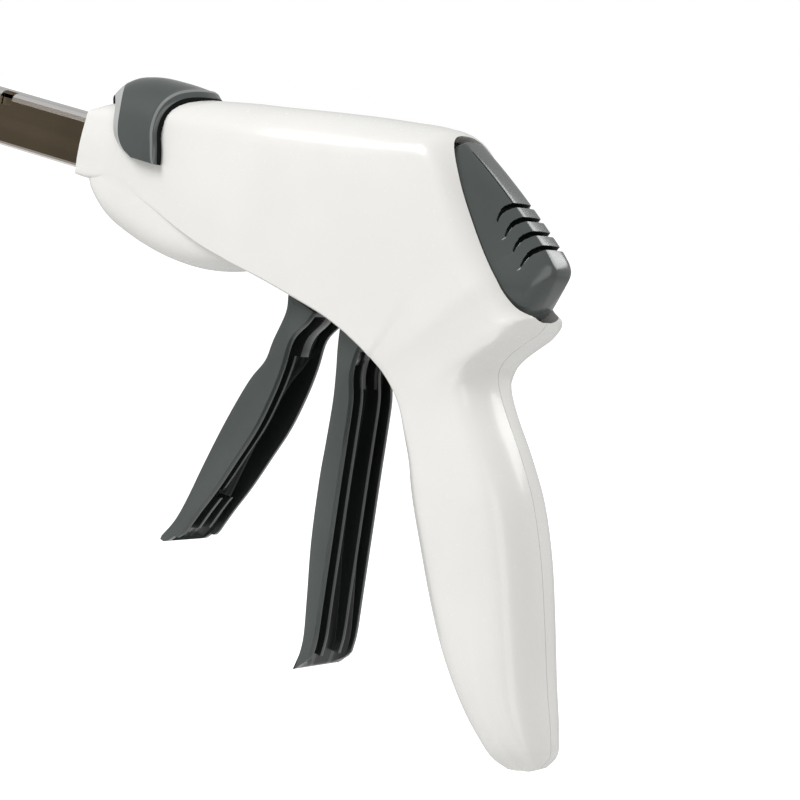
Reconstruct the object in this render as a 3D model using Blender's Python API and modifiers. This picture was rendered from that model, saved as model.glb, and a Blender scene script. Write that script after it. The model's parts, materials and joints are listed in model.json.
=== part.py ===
# Curved cutter stapler: a pistol-grip surgical stapler with a curved, open jaw.
# Lengths are written in millimetres and turned into metres where a mesh is made.
# X runs from the jaw to the user, -Y is the left side, Z is up, and the origin is
# the point where the palm holds the grip, on the parting plane.
import math

import bmesh
import bpy
from mathutils import Matrix, Vector

MM = 0.001
GAP = 0.3  # clearance between pieces that touch on the real object
RUNNING = 0.1  # radial clearance of a pin in its hole

# Housing
WALL = 2.0
PARTING_GAP = 0.3
NOSE_X = -154.5
EDGE_STEPS = 4
INSIDE_EDGE_STEPS = 2
TRIGGER_SLOT_HALF = 11.2

# Layers across the thickness, from the middle outwards
BAR_HALF = 1.2
CHEEK_THICKNESS = 1.2
FRAME_THICKNESS = 1.2
CHANNEL_WALL = 1.0
LEVER_THICKNESS = 1.6
LINK_THICKNESS = 1.4
CHEEK_IN = BAR_HALF + GAP
CHEEK_OUT = CHEEK_IN + CHEEK_THICKNESS
FRAME_IN = CHEEK_OUT + GAP
FRAME_OUT = FRAME_IN + FRAME_THICKNESS
CHANNEL_IN = FRAME_OUT + GAP
CHANNEL_OUT = CHANNEL_IN + CHANNEL_WALL
LEVER_IN = FRAME_OUT + 1.0
LEVER_OUT = LEVER_IN + LEVER_THICKNESS
LINK_IN = LEVER_OUT + GAP
LINK_OUT = LINK_IN + LINK_THICKNESS

# Shaft
SHAFT_TOP = 78.0
SHAFT_HEIGHT = 15.6
SHAFT_BEND = 2.5
SHAFT_LIP = 2.2
FRAME_REAR_X = -34.0
FRAME_FRONT_X = -266.0
BAR_BOTTOM = 64.4
BAR_TOP = 72.4
ROD_HEIGHT = 2.9

# Triggers share one pivot
PIVOT = (-58.0, 60.0)
PIVOT_R = 2.5
ARM_R = 27.0
CLOSE_DEG = 17.0
FIRE_DEG = 24.0
DRIVE_PIN_R = 1.6
FIRE_WIDTH = 18.0
CLOSE_WIDTH = 21.0
TRIGGER_WALL = 1.8
TRIGGER_WEB = 2.4
TRIGGER_RIB = 1.2
RIB_SET_BACK = 0.8

# Jaw, seen along the shaft, is an arc
ARC_CENTRE = (-33.5, 76.0)
ARC_R = 36.0
JAW_HALF_WIDTH = 8.0
STAPLE_LINE = 40.0
JAW_GAP = 9.6
CARTRIDGE_LENGTH = 31.6
CARTRIDGE_REAR_X = -272.0
COLLAR_THICKNESS = 4.5
ANVIL_THICKNESS = 4.8
ANVIL_ARM_THICKNESS = 6.0
SPINE_TOP = 46.0
SPINE_HEIGHT = 10.0
GUIDE_PIN_R = 1.5
GUIDE_PIN_DEG = 39.0
PIN_STROKE = 13.4

# Release button
BUTTON_TOP = (-36.0, 96.5)
BUTTON_SLOPE_DEG = 50.0
BUTTON_LENGTH = 52.0
BUTTON_HALF = 11.0
BUTTON_SKIRT = 6.0
BUTTON_CLEARANCE = 0.5
BUTTON_PIVOT = (-34.75, 89.7)
BUTTON_PIVOT_R = 1.6
GROOVE_COUNT = 4
GROOVE_PITCH = 4.55
GROOVE_FIRST = 22.7
GROOVE_WIDTH = 1.1
GROOVE_DEPTH = 1.6

# Sliding saddle
SADDLE_FRONT_X = -147.0
SADDLE_REAR_X = -122.0

CLOSE_STROKE = 2 * ARM_R * math.sin(math.radians(CLOSE_DEG / 2))
CARTRIDGE_FACE_X = CARTRIDGE_REAR_X - CARTRIDGE_LENGTH
ANVIL_FACE_X = CARTRIDGE_FACE_X - JAW_GAP
ANVIL_BACK_X = ANVIL_FACE_X - ANVIL_THICKNESS
ARM_FACE_X = ANVIL_BACK_X - GAP
TIP_X = ARM_FACE_X - ANVIL_ARM_THICKNESS
COLLAR_REAR_X = CARTRIDGE_REAR_X + GAP + COLLAR_THICKNESS
CHANNEL_FRONT_X = COLLAR_REAR_X + GAP
SHAFT_BOTTOM = SHAFT_TOP - SHAFT_HEIGHT
FRAME_TOP = SHAFT_TOP - CHANNEL_WALL - 1.0
FRAME_BOTTOM = SHAFT_BOTTOM + CHANNEL_WALL + GAP
ROD_TOP = FRAME_TOP - GAP
ARC_HALF_DEG = math.degrees(STAPLE_LINE / ARC_R / 2)

for item in list(bpy.data.objects):
    bpy.data.objects.remove(item, do_unlink=True)


def collection(name):
    found = bpy.data.collections.get(name) or bpy.data.collections.new(name)
    if name not in bpy.context.scene.collection.children:
        bpy.context.scene.collection.children.link(found)
    return found


PARTS = collection("curved_cutter_stapler")
CUTTERS = collection("cutters")


def material(name, colour, roughness, metallic):
    made = bpy.data.materials.new(name)
    made.use_nodes = True
    shader = made.node_tree.nodes["Principled BSDF"]
    shader.inputs["Base Color"].default_value = (*colour, 1.0)
    shader.inputs["Roughness"].default_value = roughness
    shader.inputs["Metallic"].default_value = metallic
    return made


WHITE = material("white_plastic", (0.87, 0.87, 0.84), 0.25, 0.0)
GREY = material("grey_plastic", (0.075, 0.085, 0.08), 0.3, 0.0)
STEEL = material("polished_steel", (0.62, 0.6, 0.57), 0.18, 1.0)
DULL = material("stamped_steel", (0.5, 0.5, 0.49), 0.35, 1.0)
BLUE = material("cartridge_plastic", (0.1, 0.3, 0.42), 0.35, 0.0)
IVORY = material("washer_plastic", (0.8, 0.78, 0.7), 0.4, 0.0)


# Outlines

def circle(cx, cz, r, steps=12):
    turn = 2 * math.pi / steps
    return [(cx + r * math.cos(i * turn), cz + r * math.sin(i * turn)) for i in range(steps)]


def stadium(start, end, r, steps=5):
    lean = math.atan2(end[1] - start[1], end[0] - start[0])
    points = []
    for centre, first in ((end, lean - math.pi / 2), (start, lean + math.pi / 2)):
        for i in range(steps + 1):
            a = first + math.pi * i / steps
            points.append((centre[0] + r * math.cos(a), centre[1] + r * math.sin(a)))
    return points


def box_outline(x_low, z_low, x_high, z_high):
    return [(x_low, z_low), (x_high, z_low), (x_high, z_high), (x_low, z_high)]


def rounded(corners, radius, steps=3):
    """Round each corner of a closed outline with an arc of the given radius."""
    points = []
    count = len(corners)
    for i, corner in enumerate(corners):
        here = Vector(corner)
        before = (Vector(corners[i - 1]) - here)
        after = (Vector(corners[(i + 1) % count]) - here)
        reach = min(radius, 0.45 * before.length, 0.45 * after.length)
        first = here + before.normalized() * reach
        last = here + after.normalized() * reach
        for k in range(steps + 1):
            t = k / steps
            points.append(tuple(first * (1 - t) ** 2 + here * (2 * t * (1 - t)) + last * t ** 2))
    return points


def smooth(points, steps=2):
    """An open curve through the points, as Catmull-Rom spans."""
    vectors = [Vector(p) for p in points]
    vectors = [2 * vectors[0] - vectors[1]] + vectors + [2 * vectors[-1] - vectors[-2]]
    path = []
    for a, b, c, d in zip(vectors, vectors[1:], vectors[2:], vectors[3:]):
        for k in range(steps):
            t = k / steps
            path.append(tuple(0.5 * (2 * b + (c - a) * t + (2 * a - 5 * b + 4 * c - d) * t * t
                                     + (3 * b - a - 3 * c + d) * t ** 3)))
    path.append(tuple(vectors[-2]))
    return path


def sector(r_in, r_out, low_deg, high_deg, steps=10):
    """A stretch of the jaw's arc, as an outline across the shaft."""
    span = [math.radians(low_deg + (high_deg - low_deg) * i / steps) for i in range(steps + 1)]
    cy, cz = ARC_CENTRE
    outer = [(cy + r_out * math.cos(a), cz + r_out * math.sin(a)) for a in span]
    inner = [(cy + r_in * math.cos(a), cz + r_in * math.sin(a)) for a in reversed(span)]
    return outer + inner


def arc_point(deg, r=ARC_R):
    a = math.radians(deg)
    return (ARC_CENTRE[0] + r * math.cos(a), ARC_CENTRE[1] + r * math.sin(a))


# Solids

def finish(mesh, name, look, home, placing=Matrix.Identity(4)):
    made = bpy.data.objects.new(name, mesh)
    mesh.materials.clear()
    mesh.materials.append(look or DULL)
    home.objects.link(made)
    made.matrix_world = placing
    if home is CUTTERS:
        made.hide_render = True
        made.display_type = "WIRE"
    return made


def from_curve(curve, name, look, home, placing):
    """Turn a filled curve into a closed mesh, weld its caps and drop the curve."""
    drawn = bpy.data.objects.new(name + "_curve", curve)
    PARTS.objects.link(drawn)
    drawn.matrix_world = placing
    graph = bpy.context.evaluated_depsgraph_get()
    mesh = bpy.data.meshes.new_from_object(drawn.evaluated_get(graph))
    bm = bmesh.new()
    bm.from_mesh(mesh)
    bmesh.ops.remove_doubles(bm, verts=bm.verts, dist=1e-6)
    bmesh.ops.recalc_face_normals(bm, faces=bm.faces)
    bm.to_mesh(mesh)
    bm.free()
    bpy.data.objects.remove(drawn, do_unlink=True)
    mesh.shade_smooth()
    mesh.set_sharp_from_angle(angle=math.radians(35))
    return finish(mesh, name, look, home, placing)


def extruded(name, loops, half, look, home, placing):
    curve = bpy.data.curves.new(name, "CURVE")
    curve.dimensions = "2D"
    curve.fill_mode = "BOTH"
    curve.extrude = half * MM
    for loop in loops:
        spline = curve.splines.new("POLY")
        spline.points.add(len(loop) - 1)
        for point, (a, b) in zip(spline.points, loop):
            point.co = (a * MM, b * MM, 0.0, 1.0)
        spline.use_cyclic_u = True
    return from_curve(curve, name, look, home, placing)


def plate(name, outline, y_low, y_high, holes=(), look=None, home=PARTS):
    """A flat piece: an outline seen from the side, with a thickness across Y."""
    placing = Matrix(((1, 0, 0, 0), (0, 0, -1, 0.5 * (y_low + y_high) * MM), (0, 1, 0, 0), (0, 0, 0, 1)))
    return extruded(name, [outline, *holes], 0.5 * (y_high - y_low), look, home, placing)


def slab(name, outline, x_low, x_high, holes=(), look=None, home=PARTS):
    """A flat piece: an outline seen along the shaft, with a thickness along X."""
    placing = Matrix(((0, 0, 1, 0.5 * (x_low + x_high) * MM), (1, 0, 0, 0), (0, 1, 0, 0), (0, 0, 0, 1)))
    return extruded(name, [outline, *holes], 0.5 * (x_high - x_low), look, home, placing)


def pin(name, centre, r, y_low, y_high, look=None, home=PARTS, steps=12):
    """A round pin across the object."""
    return plate(name, circle(*centre, r, steps), y_low, y_high, look=look or STEEL, home=home)


def loft(name, rings, look=None, home=PARTS):
    """A skin through rings with the same number of points, closed flat at both ends."""
    bm = bmesh.new()
    rows = [[bm.verts.new(Vector(p) * MM) for p in ring] for ring in rings]
    for one, two in zip(rows, rows[1:]):
        for i in range(len(one)):
            j = (i + 1) % len(one)
            bm.faces.new((one[i], one[j], two[j], two[i]))
    bm.faces.new(list(reversed(rows[0])))
    bm.faces.new(rows[-1])
    bmesh.ops.recalc_face_normals(bm, faces=bm.faces)
    mesh = bpy.data.meshes.new(name)
    bm.to_mesh(mesh)
    bm.free()
    mesh.shade_smooth()
    mesh.set_sharp_from_angle(angle=math.radians(35))
    return finish(mesh, name, look, home)


def wire(name, points, r, look=None):
    """A round wire along the points, in millimetres, with closed ends."""
    curve = bpy.data.curves.new(name, "CURVE")
    curve.dimensions = "3D"
    curve.bevel_depth = r * MM
    curve.bevel_resolution = 1
    curve.use_fill_caps = True
    spline = curve.splines.new("POLY")
    spline.points.add(len(points) - 1)
    for point, place in zip(spline.points, points):
        point.co = (*(value * MM for value in place), 1.0)
    return from_curve(curve, name, look or STEEL, PARTS, Matrix.Identity(4))


def change(target, tool, operation):
    step = target.modifiers.new(operation.lower(), "BOOLEAN")
    step.operation = operation
    step.object = tool
    step.solver = "EXACT"
    return target


def cut(target, *tools):
    for tool in tools:
        change(target, tool, "DIFFERENCE")
    return target


def add(target, *tools):
    for tool in tools:
        change(target, tool, "UNION")
    return target


def soften(target, width, segments=1, angle=40):
    step = target.modifiers.new("edges", "BEVEL")
    step.width = width * MM
    step.segments = segments
    step.limit_method = "ANGLE"
    step.angle_limit = math.radians(angle)
    return target


def carried_by(empty_name, place, *pieces):
    """Hang moving pieces from an empty on their joint's axis."""
    empty = bpy.data.objects.new(empty_name, None)
    empty.empty_display_size = 0.01
    empty.matrix_world = Matrix.Translation(Vector(place) * MM)
    PARTS.objects.link(empty)
    for piece in pieces:
        piece.parent = empty
        piece.matrix_parent_inverse = empty.matrix_world.inverted()
    return empty


# Housing shape

def nose_part(t):
    """A place along the front of the housing: 0 at the nose, 1 where the slope up to the handle ends."""
    return NOSE_X + t * (-115.0 - NOSE_X)


# Each station joins a point of the top and back edge to one of the lower and front edge,
# and gives how deep the rounding reaches in from either edge.
BODY_STATIONS = [
    ((NOSE_X, 80.2), (NOSE_X, 60.8), 7.5, 6.5),
    ((nose_part(0.14), 83.4), (nose_part(0.15), 60.6), 8.0, 6.5),
    ((nose_part(0.32), 86.0), (nose_part(0.35), 60.2), 8.5, 6.0),
    ((nose_part(0.54), 88.2), (nose_part(0.58), 59.4), 9.0, 5.0),
    ((nose_part(0.77), 89.9), (nose_part(0.81), 57.8), 9.5, 4.0),
    ((-115.0, 91.3), (-112.5, 55.2), 10.0, 3.2),
    ((-92.0, 94.5), (-90.0, 51.0), 11.5, 2.5),
    ((-78.0, 96.4), (-77.5, 48.9), 12.0, 2.5),
    ((-64.0, 98.1), (-65.5, 46.7), 12.0, 2.5),
    ((-51.5, 99.3), (-57.0, 44.9), 11.0, 2.5),
    ((-42.5, 100.0), (-50.5, 42.9), 9.0, 2.5),
    ((-36.6, 99.3), (-46.5, 41.3), 6.5, 2.5),
    ((-31.0, 95.0), (-43.8, 40.1), 6.0, 2.6),
    ((-24.0, 86.4), (-41.2, 38.8), 6.0, 2.7),
    ((-16.5, 77.4), (-39.0, 37.4), 5.5, 2.8),
    ((-9.0, 68.8), (-37.0, 36.0), 4.5, 2.9),
    ((-2.6, 62.6), (-35.3, 34.5), 3.4, 3.0),
    ((2.6, 60.6), (-34.0, 33.2), 2.6, 3.1),
    ((1.0, 56.4), (-33.0, 32.0), 3.0, 3.3),
    ((-3.4, 52.4), (-31.8, 30.4), 4.2, 3.5),
    ((-7.9, 48.4), (-30.6, 28.5), 5.6, 3.8),
    ((-10.0, 44.2), (-29.4, 26.1), 6.8, 4.2),
    ((-9.2, 39.8), (-28.1, 22.5), 7.8, 5.0),
    ((-5.2, 33.6), (-26.1, 15.6), 8.8, 7.0),
    ((1.6, 24.8), (-22.4, 5.4), 9.4, 9.0),
    ((8.6, 14.2), (-16.6, -6.2), 9.6, 9.8),
    ((14.9, 0.6), (-10.3, -18.2), 9.8, 10.0),
    ((20.6, -15.4), (-4.0, -28.8), 9.8, 10.0),
    ((25.4, -29.8), (3.0, -37.8), 9.4, 9.4),
    ((29.4, -40.4), (10.2, -45.2), 8.0, 8.0),
    ((30.9, -46.6), (16.8, -50.0), 5.4, 5.4),
    ((28.8, -50.6), (22.4, -52.0), 2.4, 2.4),
]
# Half the width of the body by x, and of the grip by the distance past the neck
BODY_WIDTHS = [(NOSE_X, 8.8), (nose_part(0.3), 9.9), (nose_part(0.6), 10.5), (nose_part(0.8), 11.0),
               (-115.0, 12.2), (-104.0, 14.2), (-92.0, 15.6), (-78.0, 16.2), (80.0, 16.2)]
GRIP_WIDTHS = [(-96.0, 5.0), (-91.0, 9.4), (-84.0, 11.8), (-74.0, 13.2), (-60.0, 13.9), (-40.0, 14.2),
               (-22.0, 14.0), (-8.0, 13.4), (0.0, 13.3), (8.0, 14.1), (16.0, 15.5), (24.0, 16.2),
               (99.0, 16.2)]
NECK = ((-30.0, 27.0), (-10.0, 44.0))
SIDE_CROWN = 0.5
BELLY_STATIONS = [
    ((NOSE_X, 72.0), (NOSE_X, 60.9), 8.5),
    ((nose_part(0.11), 72.0), (nose_part(0.1), 56.6), 9.0),
    ((nose_part(0.29), 72.0), (nose_part(0.3), 51.4), 9.5),
    ((nose_part(0.5), 72.0), (nose_part(0.52), 49.0), 10.0),
    ((nose_part(0.76), 70.0), (nose_part(0.77), 47.4), 10.7),
    ((-114.5, 68.0), (-114.0, 46.7), 11.4),
    ((-104.5, 64.0), (-103.5, 47.4), 11.8),
    ((-96.0, 60.0), (-94.5, 49.2), 11.0),
    ((-89.0, 58.0), (-87.5, 52.2), 9.0),
]
BELLY_STEPS = 20
INSIDE_BELLY_STEPS = 12


def along_table(table, place):
    """Read a table of (place, value) pairs with an eased step between them."""
    for (a, low), (b, high) in zip(table, table[1:]):
        if place <= b:
            t = max(0.0, (place - a) / (b - a))
            return low + (high - low) * t
    return table[-1][1]


def half_width(x, z):
    """Half the housing's width at a place on its side."""
    start = Vector(NECK[0])
    run = (Vector(NECK[1]) - start).normalized()
    past = (Vector((x, z)) - start).dot(Vector((-run.y, run.x)))
    return min(along_table(BODY_WIDTHS, x), along_table(GRIP_WIDTHS, past))


def edge_arc(edge, inwards, reach, depth, steps):
    """Points from an edge on the parting plane round to the side of the housing."""
    squareness = min(6.0, max(2.2, 16.0 / reach))
    points = []
    for k in range(steps + 1):
        a = 0.5 * math.pi * k / steps
        place = edge + inwards * reach * (1 - math.cos(a) ** (2 / squareness))
        width = half_width(*(edge + inwards * reach)) - depth
        points.append((place.x, width * math.sin(a) ** (2 / squareness), place.y))
    return points


def belly_ring(upper, lower, half, steps):
    """An oval section of the belly."""
    ring = []
    for i in range(steps):
        a = 2 * math.pi * i / steps
        power = 2 / (2.6 if math.sin(a) < 0 else 3.0)
        rise = math.copysign(abs(math.sin(a)) ** power, math.sin(a))
        side = math.copysign(abs(math.cos(a)) ** power, math.cos(a)) * half
        ring.append((0.5 * (upper[0] + lower[0]) + 0.5 * rise * (upper[0] - lower[0]), side,
                     0.5 * (upper[1] + lower[1]) + 0.5 * rise * (upper[1] - lower[1])))
    return ring


def inwards_of(points, side):
    """The direction into the housing at each point of an edge; side is +1 for the right-hand side."""
    found = []
    for i in range(len(points)):
        run = Vector(points[min(len(points) - 1, i + 1)]) - Vector(points[max(0, i - 1)])
        run.normalize()
        found.append(side * Vector((run.y, -run.x)))
    return found


def facing_pairs(stations):
    """For each station, the directions in from its upper and its lower edge; the ends stay flat."""
    downs = inwards_of([station[0] for station in stations], 1)
    ups = inwards_of([station[1] for station in stations], -1)
    for index in (0, -1):
        across = (Vector(stations[index][1]) - Vector(stations[index][0])).normalized()
        downs[index] = across
        ups[index] = -across
    return list(zip(downs, ups))


def housing_rings(depth, steps):
    """Sections of the housing, each moved in by depth."""
    rings = []
    for station, (down, up) in zip(BODY_STATIONS, facing_pairs(BODY_STATIONS)):
        top = Vector(station[0]) + down * depth
        low = Vector(station[1]) + up * depth
        first = edge_arc(top, down, max(1.0, station[2] - depth), depth, steps)
        last = edge_arc(low, up, max(1.0, station[3] - depth), depth, steps)
        middle = [0.5 * (a + b) for a, b in zip(first[-1], last[-1])]
        middle[1] += SIDE_CROWN
        side = first + [tuple(middle)] + list(reversed(last))
        rings.append(side + [(x, -y, z) for x, y, z in reversed(side[1:-1])])
    return rings if depth == 0 else rings[2:-1]


def belly_rings(depth, steps):
    rings = []
    for station, (down, up) in zip(BELLY_STATIONS, facing_pairs(BELLY_STATIONS)):
        rings.append(belly_ring(Vector(station[0]) + down * depth, Vector(station[1]) + up * depth,
                                station[2] - depth, steps))
    return rings if depth == 0 else rings[2:-1]


def wall_middle(place):
    """Distance from the parting plane to the middle of the side wall at a place in the housing."""
    rings = housing_rings(0.0, 8)
    best = (1e9, 0.0)
    for one, two in zip(rings, rings[1:]):
        for a, b in zip(one[:len(one) // 2], two[:len(two) // 2]):
            for t in (0.0, 0.25, 0.5, 0.75):
                point = Vector(a).lerp(Vector(b), t)
                best = min(best, ((Vector((point.x, point.z)) - Vector(place)).length, point.y))
    return best[1] - 0.5 * WALL


BUTTON_ALONG = Vector((math.cos(math.radians(BUTTON_SLOPE_DEG)), -math.sin(math.radians(BUTTON_SLOPE_DEG))))
BUTTON_OUT = Vector((-BUTTON_ALONG.y, BUTTON_ALONG.x))


def button_point(s, y, h):
    """A place on the button from its distance along, across and above the housing."""
    place = Vector(BUTTON_TOP) + BUTTON_ALONG * s + BUTTON_OUT * h
    return (place.x, y, place.y)


def button_half_width(s, grow=0.0):
    """Half the button's width at s: a stadium with soft ends."""
    middle = 0.5 * BUTTON_LENGTH - 1.0
    reach = min(1.0, abs(s - middle) / (0.5 * BUTTON_LENGTH + grow))
    return (BUTTON_HALF + grow) * (1 - reach ** 4) ** (1 / 3)


def button_stations(grow=0.0, count=12):
    middle = 0.5 * BUTTON_LENGTH - 1.0
    reach = 0.5 * BUTTON_LENGTH + grow
    steps = [math.sin(math.pi * (i / count - 0.5)) for i in range(count + 1)]
    return [middle + reach * 0.995 * step for step in steps]


def button_opening():
    """The hole in the housing around the button, cut square to its base."""
    rings = []
    for s in button_stations(BUTTON_CLEARANCE):
        half = max(0.4, button_half_width(s, BUTTON_CLEARANCE))
        rings.append([button_point(s, -half, -9.0), button_point(s, half, -9.0),
                      button_point(s, half, 16.0), button_point(s, -half, 16.0)])
    return loft("button_opening", rings, home=CUTTERS)


def housing_tools():
    """What is taken out of both halves of the housing."""
    inner_body = loft("housing_inside", housing_rings(WALL, INSIDE_EDGE_STEPS), home=CUTTERS)
    inner_belly = loft("belly_inside", belly_rings(WALL, INSIDE_BELLY_STEPS), home=CUTTERS)
    slot_top = 56.0
    trigger_slot = plate("trigger_slot", rounded([
        (-77.0, slot_top), (-77.0, 40.0), (-50.0, 20.0), (-34.0, 11.0), (-22.4, 11.0), (-20.5, 18.0),
        (-26.0, 30.0), (-32.0, slot_top)], 3.0), -TRIGGER_SLOT_HALF, TRIGGER_SLOT_HALF, home=CUTTERS)
    nose = plate("nose_opening",
                 box_outline(NOSE_X - 5, SHAFT_BOTTOM - 0.4, nose_part(0.42), SHAFT_TOP + 0.4),
                 -CHANNEL_OUT - 0.4, CHANNEL_OUT + 0.4, home=CUTTERS)
    top_slot = plate("slide_slot",
                     box_outline(YOKE_FRONT_X - PIN_STROKE - 0.6, 76.0, YOKE_REAR_X + 0.6, 95.0),
                     -BAR_HALF - 0.4, BAR_HALF + 0.4, home=CUTTERS)
    return [inner_body, inner_belly, trigger_slot, nose, top_slot, button_opening()]


# Yoke that joins the saddle to the push rod
YOKE_FRONT_X = -138.0
YOKE_REAR_X = -130.5
# Pins that hold the frame in the housing, and their bosses
FRONT_PIN = (-93.0, 59.5)
REAR_PIN = (-40.5, 70.0)
FRAME_PIN_R = 1.5
BOSS_WALL = 1.8
POSTS = ((-3.0, 18.0), (17.0, -34.0))
POST_R = 1.7
SPRING_SEAT = (-14.0, 50.0)
SPRING_HEIGHT = 6.1


def boss(name, centre, r, inner_end, side):
    low, high = sorted((side * inner_end, side * wall_middle(centre)))
    return pin(name, centre, r, low, high, home=CUTTERS)


def shroud(name, side):
    """One half of the housing, with the bosses that carry the pins; side is -1 on the left."""
    half = loft(name, housing_rings(0.0, EDGE_STEPS), look=WHITE)
    belly = loft(name + "_belly", belly_rings(0.0, BELLY_STEPS), home=CUTTERS)
    add(half, belly)
    cut(half, *HOUSING_TOOLS)
    far = 60.0
    low, high = sorted((-side * far, side * 0.5 * PARTING_GAP))
    cut(half, plate(name + "_parting", box_outline(-200, -80, 80, 130), low, high, home=CUTTERS))
    return half


def shroud_details(half, name, side):
    """Bosses, sockets and locating posts inside one half."""
    tag = name + "_"
    places = {"pivot": (PIVOT, PIVOT_R, 11.2), "front": (FRONT_PIN, FRAME_PIN_R, FRAME_OUT + GAP),
              "rear": (REAR_PIN, FRAME_PIN_R, FRAME_OUT + GAP),
              "button": (BUTTON_PIVOT, BUTTON_PIVOT_R, 11.3)}
    for key, (centre, r, inner_end) in places.items():
        add(half, boss(tag + key + "_boss", centre, r + RUNNING + BOSS_WALL, inner_end, side))
    for key, (centre, r, inner_end) in places.items():
        low, high = sorted((side * (inner_end - 6.0), side * (wall_middle(centre) - 0.3)))
        cut(half, pin(tag + key + "_hole", centre, r + RUNNING, low, high, home=CUTTERS))
    for index, centre in enumerate(POSTS):
        low, high = sorted((side * (0.5 * PARTING_GAP + 0.2), side * wall_middle(centre)))
        add(half, pin(f"{tag}post_boss_{index}", centre, POST_R + BOSS_WALL + 0.3, low, high, home=CUTTERS))
        if side < 0:
            add(half, pin(f"{tag}post_{index}", centre, POST_R, -6.0, 4.0, home=CUTTERS))
        else:
            cut(half, pin(f"{tag}socket_{index}", centre, POST_R + 0.3, -1.0, 5.0, home=CUTTERS))
    low, high = sorted((side * (0.5 * PARTING_GAP + 0.2), side * 8.0))
    x, z = SPRING_SEAT
    add(half, plate(tag + "spring_shelf", box_outline(x - 4.0, z - 1.7, x + 6.0, z), low, high,
                    home=CUTTERS))


# Mechanism

def polar(centre, r, deg):
    """A point at r from the centre; 0 is straight up and a positive angle leans to the rear."""
    a = math.radians(deg)
    return (centre[0] + r * math.sin(a), centre[1] + r * math.cos(a))


DRIVE_PIN = polar(PIVOT, ARM_R, 0.5 * CLOSE_DEG)
LINK_PIN = polar(PIVOT, ARM_R, 0.5 * CLOSE_DEG)
LINK_PIN_R = 1.8
STUD = (-104.0, 70.5)
STUD_R = 1.8


def mirrored_pair(stem, make):
    """The same flat piece on the left and on the right."""
    return [make("left_" + stem, -1), make("right_" + stem, 1)]


def frame_plate(name, side):
    low, high = sorted((side * FRAME_IN, side * FRAME_OUT))
    outline = rounded([
        (FRAME_FRONT_X, FRAME_TOP), (FRAME_FRONT_X, 52.0), (-262.0, 46.6), (-248.0, 46.6), (-240.0, 56.0),
        (-232.0, FRAME_BOTTOM), (-121.0, FRAME_BOTTOM), (-98.0, 55.8), (-70.0, 52.6), (-46.0, 52.4),
        (FRAME_REAR_X, 62.0),
        (FRAME_REAR_X, 76.0), (-44.0, 80.5), (-90.0, 80.5), (-96.0, FRAME_TOP)], 2.5, 2)
    holes = [circle(*PIVOT, PIVOT_R + RUNNING), circle(*FRONT_PIN, FRAME_PIN_R + RUNNING),
             circle(*REAR_PIN, FRAME_PIN_R + RUNNING)]
    holes += [circle(*place, RIVET_R + RUNNING) for place in RIVETS]
    return plate(name, outline, low, high, holes, STEEL)


RIVET_R = 1.6
RIVETS = ((-260.0, 54.5), (-249.5, 54.5))


def closure_channel():
    """The folded sheet that wraps the frame: a C section with its rear studs and slots."""
    outer = []
    for y, z, bend in ((-CHANNEL_OUT, SHAFT_BOTTOM, 1.2), (CHANNEL_OUT, SHAFT_BOTTOM, 1.2),
                       (CHANNEL_OUT, SHAFT_TOP, SHAFT_BEND), (-CHANNEL_OUT, SHAFT_TOP, SHAFT_BEND)):
        outer += bend_corner(y, z, bend)
    body = slab("closure_channel", outer, CHANNEL_FRONT_X, CHANNEL_REAR_X, look=STEEL)
    inner = []
    for y, z, bend in ((-CHANNEL_IN, SHAFT_BOTTOM + CHANNEL_WALL, 0.3),
                       (CHANNEL_IN, SHAFT_BOTTOM + CHANNEL_WALL, 0.3),
                       (CHANNEL_IN, SHAFT_TOP - CHANNEL_WALL, SHAFT_BEND - CHANNEL_WALL),
                       (-CHANNEL_IN, SHAFT_TOP - CHANNEL_WALL, SHAFT_BEND - CHANNEL_WALL)):
        inner += bend_corner(y, z, bend)
    cut(body, slab("channel_inside", inner, CHANNEL_FRONT_X - 2, CHANNEL_REAR_X + 2, home=CUTTERS))
    mouth = CHANNEL_OUT - SHAFT_LIP
    cut(body, plate("channel_mouth", box_outline(-300, 50, -50, 64.5), -mouth, mouth, home=CUTTERS))
    # The lips stop where the frame grows below the shaft at either end
    wide = CHANNEL_OUT + 1
    cut(body, plate("lip_end_front", box_outline(-300, 50, -232.0 + CLOSE_STROKE + 1, SHAFT_BOTTOM + 2.5),
                    -CHANNEL_IN, CHANNEL_IN, home=CUTTERS))
    cut(body, plate("lip_end_rear", box_outline(-122.0, 50, -50, SHAFT_BOTTOM + 2.5),
                    -CHANNEL_IN, CHANNEL_IN, home=CUTTERS))
    slot = BAR_HALF + 0.5
    cut(body, plate("yoke_slot",
                    box_outline(YOKE_FRONT_X - PIN_STROKE - 1, 76, YOKE_REAR_X + CLOSE_STROKE + 1, 80),
                    -slot, slot, home=CUTTERS))
    cut(body, plate("carrier_slot",
                    box_outline(-300, 76, PIN_CARRIER_X + PIN_CARRIER + CLOSE_STROKE + 1, 80),
                    -slot, slot, home=CUTTERS))
    cut(body, plate("corner_notch", box_outline(-190.6, SHAFT_TOP - 4.0, -186.0, 80), -wide,
                    -CHANNEL_IN + 1.6,
                    home=CUTTERS))
    for side in (-1, 1):
        low, high = sorted((side * (CHANNEL_IN + 0.2), side * (LINK_OUT + 0.5)))
        add(body, pin(f"stud_{side}", STUD, STUD_R, low, high, home=CUTTERS))
    return body


def bend_corner(y, z, bend, steps=3):
    """Points of one rounded corner of the channel, in the order of the outline."""
    cy = y - math.copysign(bend, y)
    up = z > 0.5 * (SHAFT_TOP + SHAFT_BOTTOM)
    cz = z - bend if up else z + bend
    first = {(False, False): 180, (True, False): 270, (True, True): 0, (False, True): 90}[(y > 0, up)]
    points = []
    for i in range(steps + 1):
        a = math.radians(first + 90 * i / steps)
        points.append((cy + bend * math.cos(a), cz + bend * math.sin(a)))
    return points


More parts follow.
